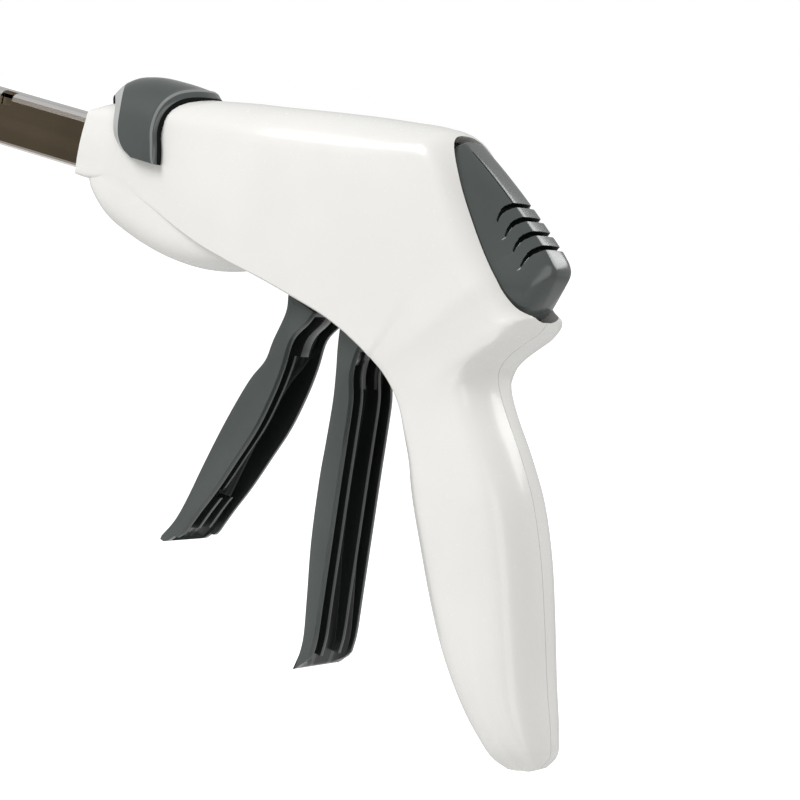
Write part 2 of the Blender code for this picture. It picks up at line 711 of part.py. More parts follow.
CHANNEL_REAR_X = -99.0
PIN_CARRIER_X = -251.0
PIN_CARRIER = 3.5


def firing_bar():
    outline = rounded([
        (HOLDER_REAR_X + GAP, BAR_BOTTOM), (-92.0, BAR_BOTTOM), (-82.0, 68.0), (-78.0, 74.0), (-84.0, 77.0),
        (-92.0, BAR_TOP), (HOLDER_REAR_X + GAP, BAR_TOP)], 1.5)
    return plate("firing_bar", outline, -BAR_HALF, BAR_HALF,
                 [circle(*CHEEK_RIVET, 1.3)], STEEL)


CHEEK_RIVET = (-90.0, 68.6)


def bar_cheek(name, side):
    """Side plate of the firing bar; the drive pin works in its upright slot."""
    low, high = sorted((side * CHEEK_IN, side * CHEEK_OUT))
    x, z = DRIVE_PIN
    lowest = PIVOT[1] + ARM_R * math.cos(math.radians(0.5 * CLOSE_DEG + FIRE_DEG))
    highest = PIVOT[1] + ARM_R
    outline = rounded([
        (-97.0, BAR_BOTTOM), (-86.0, BAR_BOTTOM), (-72.0, lowest - 6.0), (x + 5.0, lowest - 4.6),
        (x + 5.0, highest + 4.6), (x - 6.0, highest + 4.6), (-72.0, 84.0), (-92.0, BAR_TOP),
        (-97.0, BAR_TOP)], 2.0)
    slot = stadium((x, lowest - 0.2), (x, highest + 0.1), DRIVE_PIN_R + 0.6, 6)
    return plate(name, outline, low, high, [slot, circle(*CHEEK_RIVET, 1.3)], DULL)


def firing_lever():
    """The steel arm inside the front trigger."""
    top = stadium(DRIVE_PIN, PIVOT, 4.2)
    lever = plate("firing_lever", top, -BAR_HALF, BAR_HALF, look=DULL)
    for index, (start, end) in enumerate(((PIVOT, FIRE_LEG[0]), FIRE_LEG)):
        outline = stadium(start, end, LEG_R, 4)
        add(lever, plate(f"firing_lever_leg_{index}", outline, -BAR_HALF, BAR_HALF, home=CUTTERS))
    for key, place, r in (("pivot", PIVOT, PIVOT_R), ("drive", DRIVE_PIN, DRIVE_PIN_R)):
        cut(lever, pin("firing_lever_" + key, place, r + RUNNING, -3, 3, home=CUTTERS))
    return lever


def closure_lever(name, side):
    low, high = sorted((side * LEVER_IN, side * LEVER_OUT))
    lever = plate(name, stadium(LINK_PIN, PIVOT, 3.9), low, high, look=DULL)
    for index, (start, end) in enumerate(((PIVOT, CLOSE_LEG[0]), CLOSE_LEG)):
        add(lever, plate(f"{name}_leg_{index}", stadium(start, end, LEG_R, 4), low, high, home=CUTTERS))
    for key, place, r in (("pivot", PIVOT, PIVOT_R), ("link", LINK_PIN, LINK_PIN_R)):
        cut(lever, pin(f"{name}_{key}", place, r + RUNNING, -12, 12, home=CUTTERS))
    return lever


LEG_R = 2.0
FIRE_LEG = ((-66.6, 46.8), (-71.4, 36.0))
CLOSE_LEG = ((-52.3, 47.0), (-50.6, 35.5))


def closure_link(name, side):
    low, high = sorted((side * LINK_IN, side * LINK_OUT))
    outline = stadium(STUD, LINK_PIN, 3.6)
    eye = stadium((STUD[0], STUD[1] - 0.35), STUD, STUD_R + 0.25, 6)
    return plate(name, outline, low, high, [eye, circle(*LINK_PIN, LINK_PIN_R + RUNNING)], DULL)


# Triggers: front and rear edges seen from the side, top to bottom
FIRE_FRONT = [(-74.6, 47.0), (-74.4, 42.0), (-76.4, 33.8), (-77.6, 27.9), (-81.0, 21.4), (-85.4, 9.4),
              (-89.2, -3.4), (-92.6, -15.6), (-95.0, -22.5), (-98.1, -28.0)]
FIRE_FOOT = [(-95.6, -28.9), (-93.2, -28.4), (-91.4, -26.6), (-89.6, -24.8)]
FIRE_REAR = [(-86.4, -18.0), (-82.6, -10.2), (-78.6, -0.6), (-74.4, 9.6), (-71.3, 20.0), (-70.0, 28.0),
             (-69.4, 35.5), (-65.2, 41.0), (-63.6, 44.6)]
CLOSE_FRONT = [(-55.6, 45.6), (-54.8, 38.4), (-53.4, 31.7), (-52.1, 23.9), (-51.4, 13.1), (-50.6, 2.4),
               (-48.7, -13.6), (-45.9, -29.2), (-44.2, -39.8), (-45.0, -48.0)]
CLOSE_FOOT = [(-42.4, -47.6), (-40.6, -45.4)]
CLOSE_REAR = [(-39.0, -40.0), (-39.8, -28.0), (-41.4, -11.7), (-43.0, 4.3), (-44.2, 15.0), (-45.4, 25.0),
              (-47.2, 32.0), (-47.0, 38.0), (-45.4, 43.0)]


def shifted(points, dx):
    return [(x + dx, z) for x, z in points]


def trigger(name, front, foot, rear, width, pocket_top, rib_at, lever_slots):
    """A moulded trigger: a hollow open to the rear, with two ribs along it and a solid head."""
    half = 0.5 * width
    outline = smooth(front) + foot + rear
    body = soften(plate(name, outline, -half, half, look=GREY), 1.4, 2)
    web_line = [p for p in shifted(front, TRIGGER_WEB) if foot[0][1] + 5.0 < p[1] < pocket_top]
    back_line = [(x + 30.0, z) for x, z in reversed(web_line)]
    hollow = web_line + back_line
    inner = half - TRIGGER_WALL
    lanes = ((-inner, -rib_at - 0.5 * TRIGGER_RIB),
             (-rib_at + 0.5 * TRIGGER_RIB, rib_at - 0.5 * TRIGGER_RIB),
             (rib_at + 0.5 * TRIGGER_RIB, inner))
    for index, (low, high) in enumerate(lanes):
        cut(body, plate(f"{name}_lane_{index}", hollow, low, high, home=CUTTERS))
    rear_line = [p for p in rear if foot[0][1] + 6.0 < p[1] < pocket_top]
    trim = shifted(rear_line, -RIB_SET_BACK) + shifted(list(reversed(rear_line)), 20.0)
    cut(body, plate(name + "_rib_trim", trim, -inner, inner, home=CUTTERS))
    for index, (low, high) in enumerate(lever_slots):
        cut(body, plate(f"{name}_lever_slot_{index}", lever_room(name), low, high, home=CUTTERS))
    return body


def lever_room(name):
    """The slot in a trigger's head that its steel lever fills, a little wider than the lever."""
    if name == "firing_trigger":
        return stadium(*FIRE_LEG, LEG_R + GAP, 4)
    return stadium(*CLOSE_LEG, LEG_R + GAP, 4)


def torsion_spring(name, side, lean_deg):
    """A coil around the pivot with one leg on the trigger and one on the frame."""
    r = PIVOT_R + 0.7
    turns = 3
    start = LINK_OUT + 0.6
    rise = 0.95
    points = []
    for i in range(turns * 10 + 1):
        x, z = polar(PIVOT, r, lean_deg + 36 * i)
        points.append((x, side * (start - 1.4 + rise * i / 10), z))
    first = points[0]
    last = points[-1]
    tail = polar(PIVOT, 11.0, lean_deg - 62)
    head = polar(PIVOT, 11.0, lean_deg + 62)
    points = [(head[0], first[1], head[1])] + points[1:] + [(tail[0], last[1], tail[1])]
    return wire(name, points, 0.5)


# Curved jaw

def jaw_frame():
    """The C that carries the anvil: tongue between the frame plates, spine below, arm in front."""
    half = CHEEK_OUT
    tongue = plate("jaw_frame", rounded([
        (TIP_X, SPINE_TOP - SPINE_HEIGHT + 3), (TIP_X + 5, SPINE_TOP - SPINE_HEIGHT),
        (-262.0, SPINE_TOP - SPINE_HEIGHT), (-246.0, 44.0), (-238.0, 57.0), (-236.0, 62.0), (-266.0, 62.0),
        (-266.4, SPINE_TOP + 3), (-268.5, SPINE_TOP), (TIP_X, SPINE_TOP)], 3.0), -half, half,
        [circle(*p, RIVET_R + RUNNING) for p in RIVETS],
        STEEL)
    spine = plate("spine_block", rounded([
        (TIP_X, SPINE_TOP - SPINE_HEIGHT + 2), (TIP_X + 4, SPINE_TOP - SPINE_HEIGHT + 0.2),
        (-276.0, SPINE_TOP - SPINE_HEIGHT + 0.2), (-272.5, SPINE_TOP - 4), (-272.5, SPINE_TOP - 0.2),
        (TIP_X, SPINE_TOP - 0.2)], 2.0), -7.0, 7.0, home=CUTTERS)
    soften(spine, 1.2)
    arm = slab("anvil_arm", sector(ARC_R - JAW_HALF_WIDTH, ARC_R + JAW_HALF_WIDTH, -58, 44),
               TIP_X, ARM_FACE_X, home=CUTTERS)
    soften(arm, 1.0)
    add(tongue, spine, arm)
    return tongue


def anvil():
    body = slab("anvil", sector(ARC_R - JAW_HALF_WIDTH + 0.6, ARC_R + JAW_HALF_WIDTH - 0.6,
                                -ARC_HALF_DEG - 7, 43),
                ANVIL_BACK_X, ANVIL_FACE_X, look=STEEL)
    groove = slab("anvil_groove", sector(ARC_R - 1.5, ARC_R + 1.5, -ARC_HALF_DEG - 2, ARC_HALF_DEG + 2),
                  ANVIL_FACE_X - 3.4, ANVIL_FACE_X + 1, home=CUTTERS)
    y, z = arc_point(GUIDE_PIN_DEG)
    seat = slab("anvil_pin_seat", circle(y, z, GUIDE_PIN_R + 0.3), ANVIL_FACE_X - 3.6, ANVIL_FACE_X + 1,
                home=CUTTERS)
    return cut(body, groove, seat)


def cutting_washer():
    return slab("cutting_washer", sector(ARC_R - 1.2, ARC_R + 1.2, -ARC_HALF_DEG - 1.4, ARC_HALF_DEG + 1.4),
                ANVIL_FACE_X - 3.3, ANVIL_FACE_X - 2.3, look=IVORY)


def cartridge_housing():
    body = slab("cartridge_housing", sector(ARC_R - JAW_HALF_WIDTH, ARC_R + JAW_HALF_WIDTH,
                                            -ARC_HALF_DEG - 7, 44),
                CARTRIDGE_FACE_X, CARTRIDGE_REAR_X, look=BLUE)
    pocket = slab("cartridge_pocket", sector(ARC_R - 6.0, ARC_R + 6.0, -ARC_HALF_DEG - 3, ARC_HALF_DEG + 2),
                  CARTRIDGE_FACE_X + 2.0, CARTRIDGE_REAR_X + 2, home=CUTTERS)
    slit = slab("knife_slit", sector(ARC_R - 0.6, ARC_R + 0.6, -ARC_HALF_DEG - 0.6, ARC_HALF_DEG + 0.6),
                CARTRIDGE_FACE_X - 2, CARTRIDGE_FACE_X + 4, home=CUTTERS)
    for index, (low, high) in enumerate(BLADE_LANES):
        lane = sector(ARC_R + low - 0.2, ARC_R + high + 0.2, -ARC_HALF_DEG - 0.4, ARC_HALF_DEG + 0.4)
        cut(body, slab(f"blade_slot_{index}", lane, CARTRIDGE_FACE_X - 2, CARTRIDGE_FACE_X + 4,
                       home=CUTTERS))
    y, z = arc_point(GUIDE_PIN_DEG)
    bore = slab("guide_bore", circle(y, z, GUIDE_PIN_R + RUNNING), CARTRIDGE_FACE_X - 2,
                CARTRIDGE_REAR_X + 2,
                home=CUTTERS)
    return cut(body, pocket, slit, bore)


def closure_collar():
    """The plate on the front of the channel that carries the cartridge."""
    outline = sector(ARC_R - JAW_HALF_WIDTH + 0.5, ARC_R + JAW_HALF_WIDTH - 0.5, -ARC_HALF_DEG - 5, 30)
    window = box_outline(-BAR_HALF - 0.4, BAR_BOTTOM - 0.6, BAR_HALF + 0.4, BAR_TOP + 0.6)
    return slab("closure_collar", outline, CARTRIDGE_REAR_X + GAP, COLLAR_REAR_X, [window], DULL)


HOLDER_REAR_X = CARTRIDGE_REAR_X - 1.0
HOLDER_THICKNESS = 3.0
DRIVER_BASE = 9.0
# The firing trigger rides on the closure trigger and the bar on the channel, so the bar's own travel
# is taken as the mean of its travels with the jaw open and with the jaw closed
OPEN_TRAVEL = ARM_R * (math.sin(math.radians(0.5 * CLOSE_DEG))
                       + math.sin(math.radians(FIRE_DEG - 0.5 * CLOSE_DEG)))
CLOSED_TRAVEL = ARM_R * (math.sin(math.radians(0.5 * CLOSE_DEG + FIRE_DEG))
                         - math.sin(math.radians(0.5 * CLOSE_DEG)))
FIRE_STROKE = 0.5 * (OPEN_TRAVEL + CLOSED_TRAVEL)
BLADE_TIP_X = CARTRIDGE_FACE_X + FIRE_STROKE + GAP
KNIFE_TIP_X = ANVIL_FACE_X - 1.9 + FIRE_STROKE + CLOSE_STROKE
BLADE_LANES = ((-4.6, -1.9), (1.9, 4.6))


def knife_holder():
    return slab("knife_holder", sector(ARC_R - 5.5, ARC_R + 5.5, -ARC_HALF_DEG, ARC_HALF_DEG),
                HOLDER_REAR_X - HOLDER_THICKNESS, HOLDER_REAR_X, look=DULL)


def staple_driver():
    rear = HOLDER_REAR_X - HOLDER_THICKNESS - GAP
    slit = sector(ARC_R - 0.7, ARC_R + 0.7, -ARC_HALF_DEG + 0.4, ARC_HALF_DEG - 0.4)
    body = slab("staple_driver", sector(ARC_R - 5.6, ARC_R + 5.6, -ARC_HALF_DEG - 2.2, ARC_HALF_DEG + 1.4),
                rear - DRIVER_BASE, rear, [slit], IVORY)
    for index, (low, high) in enumerate(BLADE_LANES):
        lane = sector(ARC_R + low, ARC_R + high, -ARC_HALF_DEG, ARC_HALF_DEG)
        add(body, slab(f"driver_blade_{index}", lane, BLADE_TIP_X, rear - DRIVER_BASE + 1.0, home=CUTTERS))
    return body


def knife():
    rear = HOLDER_REAR_X - HOLDER_THICKNESS - GAP
    return slab("knife", sector(ARC_R - 0.3, ARC_R + 0.3, -ARC_HALF_DEG + 1, ARC_HALF_DEG - 1),
                KNIFE_TIP_X, rear, look=STEEL)


def pin_carrier():
    """The arm that lifts the push rod's motion up to the guide pin."""
    y, z = arc_point(GUIDE_PIN_DEG)
    outline = rounded([(-BAR_HALF, ROD_TOP + GAP), (BAR_HALF, ROD_TOP + GAP), (BAR_HALF, 80.0),
                       (y + 3.4, z - 2.0),
                       (y + 3.0, z + 3.0), (y - 3.0, z + 3.0), (y - 3.4, z - 2.0), (-BAR_HALF, 80.0)],
                       0.6, 2)
    return slab("pin_carrier", outline, PIN_CARRIER_X, PIN_CARRIER_X + PIN_CARRIER,
                [circle(y, z, GUIDE_PIN_R + RUNNING)], DULL)


def guide_pin():
    y, z = arc_point(GUIDE_PIN_DEG)
    return slab("guide_pin", circle(y, z, GUIDE_PIN_R),
                CARTRIDGE_FACE_X + 0.8, PIN_CARRIER_X + PIN_CARRIER + 1.0,
                look=STEEL)


# Saddle slide
# station: x, top of the outside, top of the inside, outer half width, inner half width, leg end
SADDLE_STATIONS = [
    (SADDLE_FRONT_X, 86.0, 85.0, 11.2, 10.4, 80.0),
    (-145.2, 88.4, 85.7, 12.0, 10.7, 77.0),
    (-143.0, 90.8, 86.8, 12.7, 11.0, 74.6),
    (-140.0, 92.4, 88.4, 13.2, 11.4, 72.4),
    (-136.0, 93.3, 90.2, 13.6, 11.7, 71.0),
    (-131.0, 93.7, 91.1, 13.9, 12.0, 70.7),
    (-126.0, 93.4, 91.3, 14.2, 12.4, 70.8),
    (SADDLE_REAR_X, 92.8, 91.2, 14.4, 12.8, 71.0),
]


def arch(top, half_width, leg_end, squareness, x, steps=12):
    points = []
    for i in range(steps + 1):
        a = math.pi * i / steps
        side = math.copysign(abs(math.cos(a)) ** (2 / squareness), math.cos(a)) * half_width
        rise = abs(math.sin(a)) ** (2 / squareness)
        points.append((x, side, leg_end + (top - leg_end) * rise))
    return points


def saddle_slide():
    rings = []
    for x, top, roof, outer, inner, leg_end in SADDLE_STATIONS:
        outside = arch(top, outer, leg_end, 2.6, x)
        inside = arch(roof, inner, leg_end, 3.2, x)
        rings.append(outside + list(reversed(inside)))
    return loft("saddle_slide", rings, look=GREY)


# Release button
def button_crown(s):
    """Height of the crown above the base and half its width, at s along the button."""
    rise = ((0.0, 1.2), (9.0, 4.4), (23.0, 7.9), (35.0, 10.8), (42.0, 12.0), (46.0, 10.6), (49.0, 6.6),
            (52.0, 2.2))
    for (a, low), (b, high) in zip(rise, rise[1:]):
        if s <= b:
            height = low + (high - low) * (s - a) / (b - a)
            break
    else:
        height = rise[-1][1]
    return max(0.6, height), 0.68 * button_half_width(s)


def release_button():
    rings = []
    for s in button_stations():
        base = max(0.3, button_half_width(s))
        height, crown = button_crown(s)
        crown = max(0.2, crown)
        shoulder = base - 0.25 * (base - crown)
        half = [(base, -BUTTON_SKIRT), (base, 0.0), (shoulder, 0.62 * height),
                (crown + 0.3 * (shoulder - crown), 0.93 * height),
                (crown * 0.8, height)]
        across = half + [(-y, h) for y, h in reversed(half)]
        rings.append([button_point(s, y, h) for y, h in across])
    body = loft("release_button", rings, look=GREY)
    for index in range(GROOVE_COUNT):
        s = GROOVE_FIRST + index * GROOVE_PITCH
        height, crown = button_crown(s)
        half_width = BUTTON_HALF + 2
        low = height - GROOVE_DEPTH
        ring = [(half_width, 0.32 * height), (half_width, height + 3), (-half_width, height + 3),
                (-half_width, 0.32 * height), (-crown - 0.5, low), (crown + 0.5, low)]
        rings = [[button_point(s + d, y, h) for y, h in ring]
                 for d in (-0.5 * GROOVE_WIDTH, 0.5 * GROOVE_WIDTH)]
        cut(body, loft(f"groove_{index}", rings, home=CUTTERS))
    hollow_rings = []
    for s in (3.0, 20.0, 38.0):
        y = button_half_width(s) - 2.0
        low = -BUTTON_SKIRT - 1
        hollow_rings.append([button_point(s, -y, low), button_point(s, y, low),
                             button_point(s, y, -0.8), button_point(s, -y, -0.8)])
    cut(body, loft("button_hollow", hollow_rings, home=CUTTERS))
    cut(body, pin("button_pin_hole", BUTTON_PIVOT, BUTTON_PIVOT_R + RUNNING, -20, 20, home=CUTTERS))
    return body


def release_latch():
    """Steel arm on the button's pin that reaches over the closure link pin."""
    x, z = BUTTON_PIVOT
    low = PIVOT[1] + ARM_R + LINK_PIN_R + 0.5
    outline = rounded([(LINK_PIN[0] - 8.0, low), (LINK_PIN[0] + 6.0, low), (x - 5.2, z - 3.1),
                       (x + 0.3, z - 2.5),
                       (x + 2.4, z), (x + 0.6, z + 2.3), (x - 2.5, z + 0.9), (x - 4.8, z - 0.1),
                       (x - 7.7, low + 3.3),
                       (LINK_PIN[0] - 8.0, low + 3.3)], 0.8, 3)
    return plate("release_latch", outline, -FRAME_OUT - 0.5, -FRAME_IN - 0.1,
                 [circle(*BUTTON_PIVOT, BUTTON_PIVOT_R + RUNNING)], DULL)


def button_spring():
    """Coil that pushes the tail of the button outwards."""
    x, z = SPRING_SEAT
    turns = 4
    points = []
    for i in range(turns * 9 + 1):
        a = 2 * math.pi * i / 9
        points.append((x + 2.4 * math.cos(a), 2.4 * math.sin(a), z + 0.8 + SPRING_HEIGHT * i / (turns * 9)))
    return wire("button_spring", points, 0.4)


HOUSING_TOOLS = housing_tools()
left_shroud = shroud("left_shroud", -1)
right_shroud = shroud("right_shroud", 1)
shroud_details(left_shroud, "left_shroud", -1)
shroud_details(right_shroud, "right_shroud", 1)

mirrored_pair("frame_plate", frame_plate)
for index, place in enumerate(RIVETS):
    pin(f"head_rivet_{index + 1}", place, RIVET_R, -FRAME_OUT - 0.4, FRAME_OUT + 0.4)
jaw_frame()
anvil()
cutting_washer()
for stem, place, r in (("trigger_pivot", PIVOT, PIVOT_R), ("front_frame", FRONT_PIN, FRAME_PIN_R),
                       ("rear_frame", REAR_PIN, FRAME_PIN_R),
                       ("button_pivot", BUTTON_PIVOT, BUTTON_PIVOT_R)):
    end = wall_middle(place) - 0.6
    pin(stem + "_pin", place, r, -end, end)
torsion_spring("closure_return_spring", -1, 0.5 * CLOSE_DEG)
torsion_spring("firing_return_spring", 1, 0.0)
button_spring()

pivot_place = (PIVOT[0], 0, PIVOT[1])
close_pieces = [trigger("closure_trigger", CLOSE_FRONT, CLOSE_FOOT, CLOSE_REAR, CLOSE_WIDTH, 30.0, 4.2,
                        ((LEVER_IN - GAP, LEVER_OUT + GAP), (-LEVER_OUT - GAP, -LEVER_IN + GAP)))]
close_pieces += mirrored_pair("closure_lever", closure_lever)
for stem, side in (("left", -1), ("right", 1)):
    low, high = sorted((side * FRAME_IN, side * (LINK_OUT + 0.5)))
    close_pieces.append(pin(stem + "_link_pin", LINK_PIN, LINK_PIN_R, low, high))
carried_by("closure_hinge", pivot_place, *close_pieces)

fire_pieces = [trigger("firing_trigger", FIRE_FRONT, FIRE_FOOT, FIRE_REAR, FIRE_WIDTH, 34.0, 3.6,
                       ((-BAR_HALF - GAP, BAR_HALF + GAP),))]
fire_pieces.append(firing_lever())
fire_pieces.append(pin("drive_pin", DRIVE_PIN, DRIVE_PIN_R, -CHEEK_OUT, CHEEK_OUT))
carried_by("firing_hinge", pivot_place, *fire_pieces)

carried_by("link_hinge", (LINK_PIN[0], 0, LINK_PIN[1]), *mirrored_pair("closure_link", closure_link))
carried_by("closure_slide_origin", (STUD[0], 0, STUD[1]), closure_channel(), closure_collar(),
           cartridge_housing())
bar_pieces = [firing_bar(), *mirrored_pair("bar_cheek", bar_cheek)]
bar_pieces.append(pin("cheek_rivet", CHEEK_RIVET, 1.2, -CHEEK_OUT, CHEEK_OUT))
carried_by("firing_slide_origin", (DRIVE_PIN[0], 0, DRIVE_PIN[1]), *bar_pieces, knife_holder(),
           staple_driver(), knife())

push_rod = plate("push_rod", box_outline(PIN_CARRIER_X, ROD_TOP - ROD_HEIGHT, YOKE_REAR_X, ROD_TOP),
                 -BAR_HALF, BAR_HALF,
                 look=STEEL)
yoke_outline = [(YOKE_FRONT_X, ROD_TOP + GAP), (YOKE_REAR_X, ROD_TOP + GAP), (YOKE_REAR_X, 90.8),
                (-131.0, 90.7),
                (-136.0, 89.8), (YOKE_FRONT_X, 88.9)]
slide_yoke = plate("slide_yoke", yoke_outline, -BAR_HALF, BAR_HALF, look=DULL)
carried_by("pin_slide_origin", (YOKE_FRONT_X, 0, ROD_TOP), saddle_slide(), slide_yoke, push_rod,
           pin_carrier(),
           guide_pin())
carried_by("button_hinge", (BUTTON_PIVOT[0], 0, BUTTON_PIVOT[1]), release_button(), release_latch())
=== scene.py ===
# %% [markdown]
# This scene dresses a surgical stapler with a curved jaw. The solids come from the CAD model and
# never move. They could be shown as they are, but moulded skins and soft edges need finer meshes,
# so every visible surface gets a better mesh, a better finish, or both.

# %% Load the fixed frame
import json
import math

import bmesh
import bpy
from mathutils import Matrix, Vector


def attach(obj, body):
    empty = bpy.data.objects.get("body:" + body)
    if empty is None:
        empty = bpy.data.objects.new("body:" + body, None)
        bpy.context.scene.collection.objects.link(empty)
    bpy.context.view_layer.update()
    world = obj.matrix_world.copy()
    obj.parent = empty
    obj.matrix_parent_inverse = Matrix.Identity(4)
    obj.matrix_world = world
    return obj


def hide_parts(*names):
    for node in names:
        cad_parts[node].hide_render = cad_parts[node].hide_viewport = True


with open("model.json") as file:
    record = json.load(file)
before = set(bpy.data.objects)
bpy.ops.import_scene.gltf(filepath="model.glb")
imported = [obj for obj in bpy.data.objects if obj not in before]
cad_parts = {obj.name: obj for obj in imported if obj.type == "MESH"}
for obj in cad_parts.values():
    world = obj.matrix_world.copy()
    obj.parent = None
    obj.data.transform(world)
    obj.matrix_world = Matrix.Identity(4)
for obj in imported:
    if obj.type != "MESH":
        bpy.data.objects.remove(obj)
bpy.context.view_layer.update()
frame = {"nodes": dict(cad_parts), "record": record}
NODES = frame["nodes"]
MM = 0.001

# %% [markdown]
# A finish is a small net of shader nodes. It could be wired by hand, link by link, but then nobody
# can read the sum behind it. A small class wraps a socket instead, so that an expression such as
# 1 - mask adds the Math node by itself.

# %% A socket with arithmetic


class Flow:
    """One output socket of a material, with arithmetic on it."""

    def __init__(self, tree, socket):
        self.tree = tree
        self.socket = socket

    def node(self, kind, settings=None, inputs=None, output=0):
        """Add a node: first its settings, then the values or links of its sockets."""
        made = self.tree.nodes.new(kind)
        for name, value in (settings or {}).items():
            setattr(made, name, value)
        for name, value in (inputs or {}).items():
            if isinstance(value, Flow):
                self.tree.links.new(value.socket, made.inputs[name])
            else:
                made.inputs[name].default_value = value
        return Flow(self.tree, made.outputs[output])

    def maths(self, operation, other, swapped=False):
        pair = {0: other, 1: self} if swapped else {0: self, 1: other}
        return self.node("ShaderNodeMath", {"operation": operation}, pair)

    def __add__(self, other):
        return self.maths("ADD", other)

    __radd__ = __add__

    def __mul__(self, other):
        return self.maths("MULTIPLY", other)

    __rmul__ = __mul__

    def __sub__(self, other):
        return self.maths("SUBTRACT", other)

    def __rsub__(self, other):
        return self.maths("SUBTRACT", other, swapped=True)

    def clamp(self, low, high):
        """Spread low to high over 0 to 1 and cut off the rest."""
        settings = {"clamp": True, "interpolation_type": "SMOOTHSTEP"}
        return self.node("ShaderNodeMapRange", settings, {0: self, 1: low, 2: high})

    def blend(self, one, two):
        """Colour one where this mask is 0 and colour two where it is 1."""
        return self.node("ShaderNodeMix", {"data_type": "RGBA"}, {0: self, 6: one, 7: two}, output=2)


print("sockets can be added, subtracted and multiplied")

# %% [markdown]
# Every finish starts the same way: a new material, its shader, and the place on the object. The
# place could be a picture map, but object coordinates need no unwrapping and stay with the piece
# when it moves.

# %% The start of a finish


def source(tree, kind, output):
    """A Flow from a node that needs no input."""
    return Flow(tree, tree.nodes.new(kind).outputs[output])


def start_finish(name):
    """A new material, its tree, its shader and a Flow of the object coordinates."""
    made = bpy.data.materials.new(name)
    made.use_nodes = True
    tree = made.node_tree
    return made, tree, tree.nodes["Principled BSDF"], source(tree, "ShaderNodeTexCoord", "Object")


def feed(tree, shader, socket, value):
    """Link a Flow to a socket of the shader."""
    tree.links.new(value.socket, shader.inputs[socket])


def noise(place, scale, detail=2.0):
    return place.node("ShaderNodeTexNoise", inputs={"Vector": place, "Scale": scale, "Detail": detail})


def grain(height, strength, distance):
    """A fine bump, with its depth in metres."""
    inputs = {"Strength": strength, "Distance": distance, "Height": height}
    return height.node("ShaderNodeBump", inputs=inputs)


print("finishes start from object coordinates")

# %% [markdown]
# The housing is injection-moulded white plastic with a smooth, slightly glossy skin. One flat colour
# would be simpler, but real mouldings are never quite even: a very faint mottle in the colour and a
# fine grain in the roughness are enough. The grey, blue and ivory parts use the same recipe.

# %% Moulded plastics


def moulded(name, colour, shade, roughness, strength, coat=0.0, specular=0.5):
    made, tree, shader, place = start_finish(name)
    mottle = noise(place, 40.0).clamp(0.35, 0.65)
    feed(tree, shader, "Base Color", mottle.blend((*colour, 1), (*shade, 1)))
    speckle = noise(place, 1400.0, 3.0)
    feed(tree, shader, "Roughness", speckle * 0.08 + (roughness - 0.04))
    feed(tree, shader, "Normal", grain(speckle, strength, 0.00005))
    shader.inputs["Coat Weight"].default_value = coat
    shader.inputs["Coat Roughness"].default_value = 0.12
    shader.inputs["Specular IOR Level"].default_value = specular
    return made


WHITE = moulded("white moulding", (0.93, 0.92, 0.885), (0.91, 0.9, 0.865), 0.26, 0.05, 0.3)
GREY = moulded("dark grey moulding", (0.075, 0.088, 0.083), (0.066, 0.078, 0.073), 0.22, 0.03, 0.35)
BLUE = moulded("cartridge moulding", (0.09, 0.28, 0.4), (0.08, 0.25, 0.37), 0.38, 0.15)
IVORY = moulded("washer moulding", (0.78, 0.75, 0.66), (0.74, 0.71, 0.62), 0.42, 0.1)
print("plastics", WHITE.name, GREY.name, BLUE.name, IVORY.name)

# %% [markdown]
# The head and the inner parts are surgical steel, polished or stamped. The polish could be a shader
# that stretches its highlights; streaks of roughness along the part give the same brushed look.

# %% Steels


def streaked(name, colour, shade, roughness, direction):
    made, tree, shader, place = start_finish(name)
    stretched = place.node("ShaderNodeMapping", inputs={"Vector": place, "Scale": direction})
    streak = noise(stretched, 300.0, 3.0).clamp(0.3, 0.7)
    cloud = noise(place, 60.0).clamp(0.3, 0.7)
    feed(tree, shader, "Base Color", cloud.blend((*colour, 1), (*shade, 1)))
    feed(tree, shader, "Roughness", streak * 0.1 + (roughness - 0.05))
    feed(tree, shader, "Normal", grain(streak, 0.12, 0.00003))
    shader.inputs["Metallic"].default_value = 1.0
    return made


STEEL = streaked("polished steel", (0.62, 0.60, 0.57), (0.56, 0.54, 0.5), 0.2, (0.05, 1.0, 1.0))
DULL = streaked("stamped steel", (0.5, 0.5, 0.49), (0.44, 0.44, 0.43), 0.36, (0.3, 0.3, 1.0))
print("steels", STEEL.name, DULL.name)

# %% [markdown]
# Pins, levers, links, springs and frame plates look right as the CAD gives them, so they keep their
# shape and only take a finish. Smooth shading that breaks at sharp edges makes round pins round and
# keeps stamped edges crisp, which is quicker than a bevel on every small part.

# %% The CAD nodes take their finish
CAD_SHARP = 32.0


def dress(mesh, finish, sharp):
    """One finish all over, and smooth shading that breaks at edges sharper than an angle."""
    mesh.materials.clear()
    mesh.materials.append(finish)
    mesh.polygons.foreach_set("material_index", [0] * len(mesh.polygons))
    mesh.shade_smooth()
    mesh.set_sharp_from_angle(angle=math.radians(sharp))


FINISH = {"white_plastic": WHITE, "grey_plastic": GREY, "polished_steel": STEEL, "stamped_steel": DULL,
          "cartridge_plastic": BLUE, "washer_plastic": IVORY}
for part in frame["record"]["subparts"]:
    dress(NODES[part["node"]].data, FINISH[part["material_slot"]], CAD_SHARP)

# %% [markdown]
# Moulded forms are drawn as rows of numbers, with only the points that a mould maker would
# dimension. Many more rows could be written, but a spline through a few gives a calmer surface. A
# table gives one measure along the part, such as the width of the grip.

# %% Smooth runs and tables


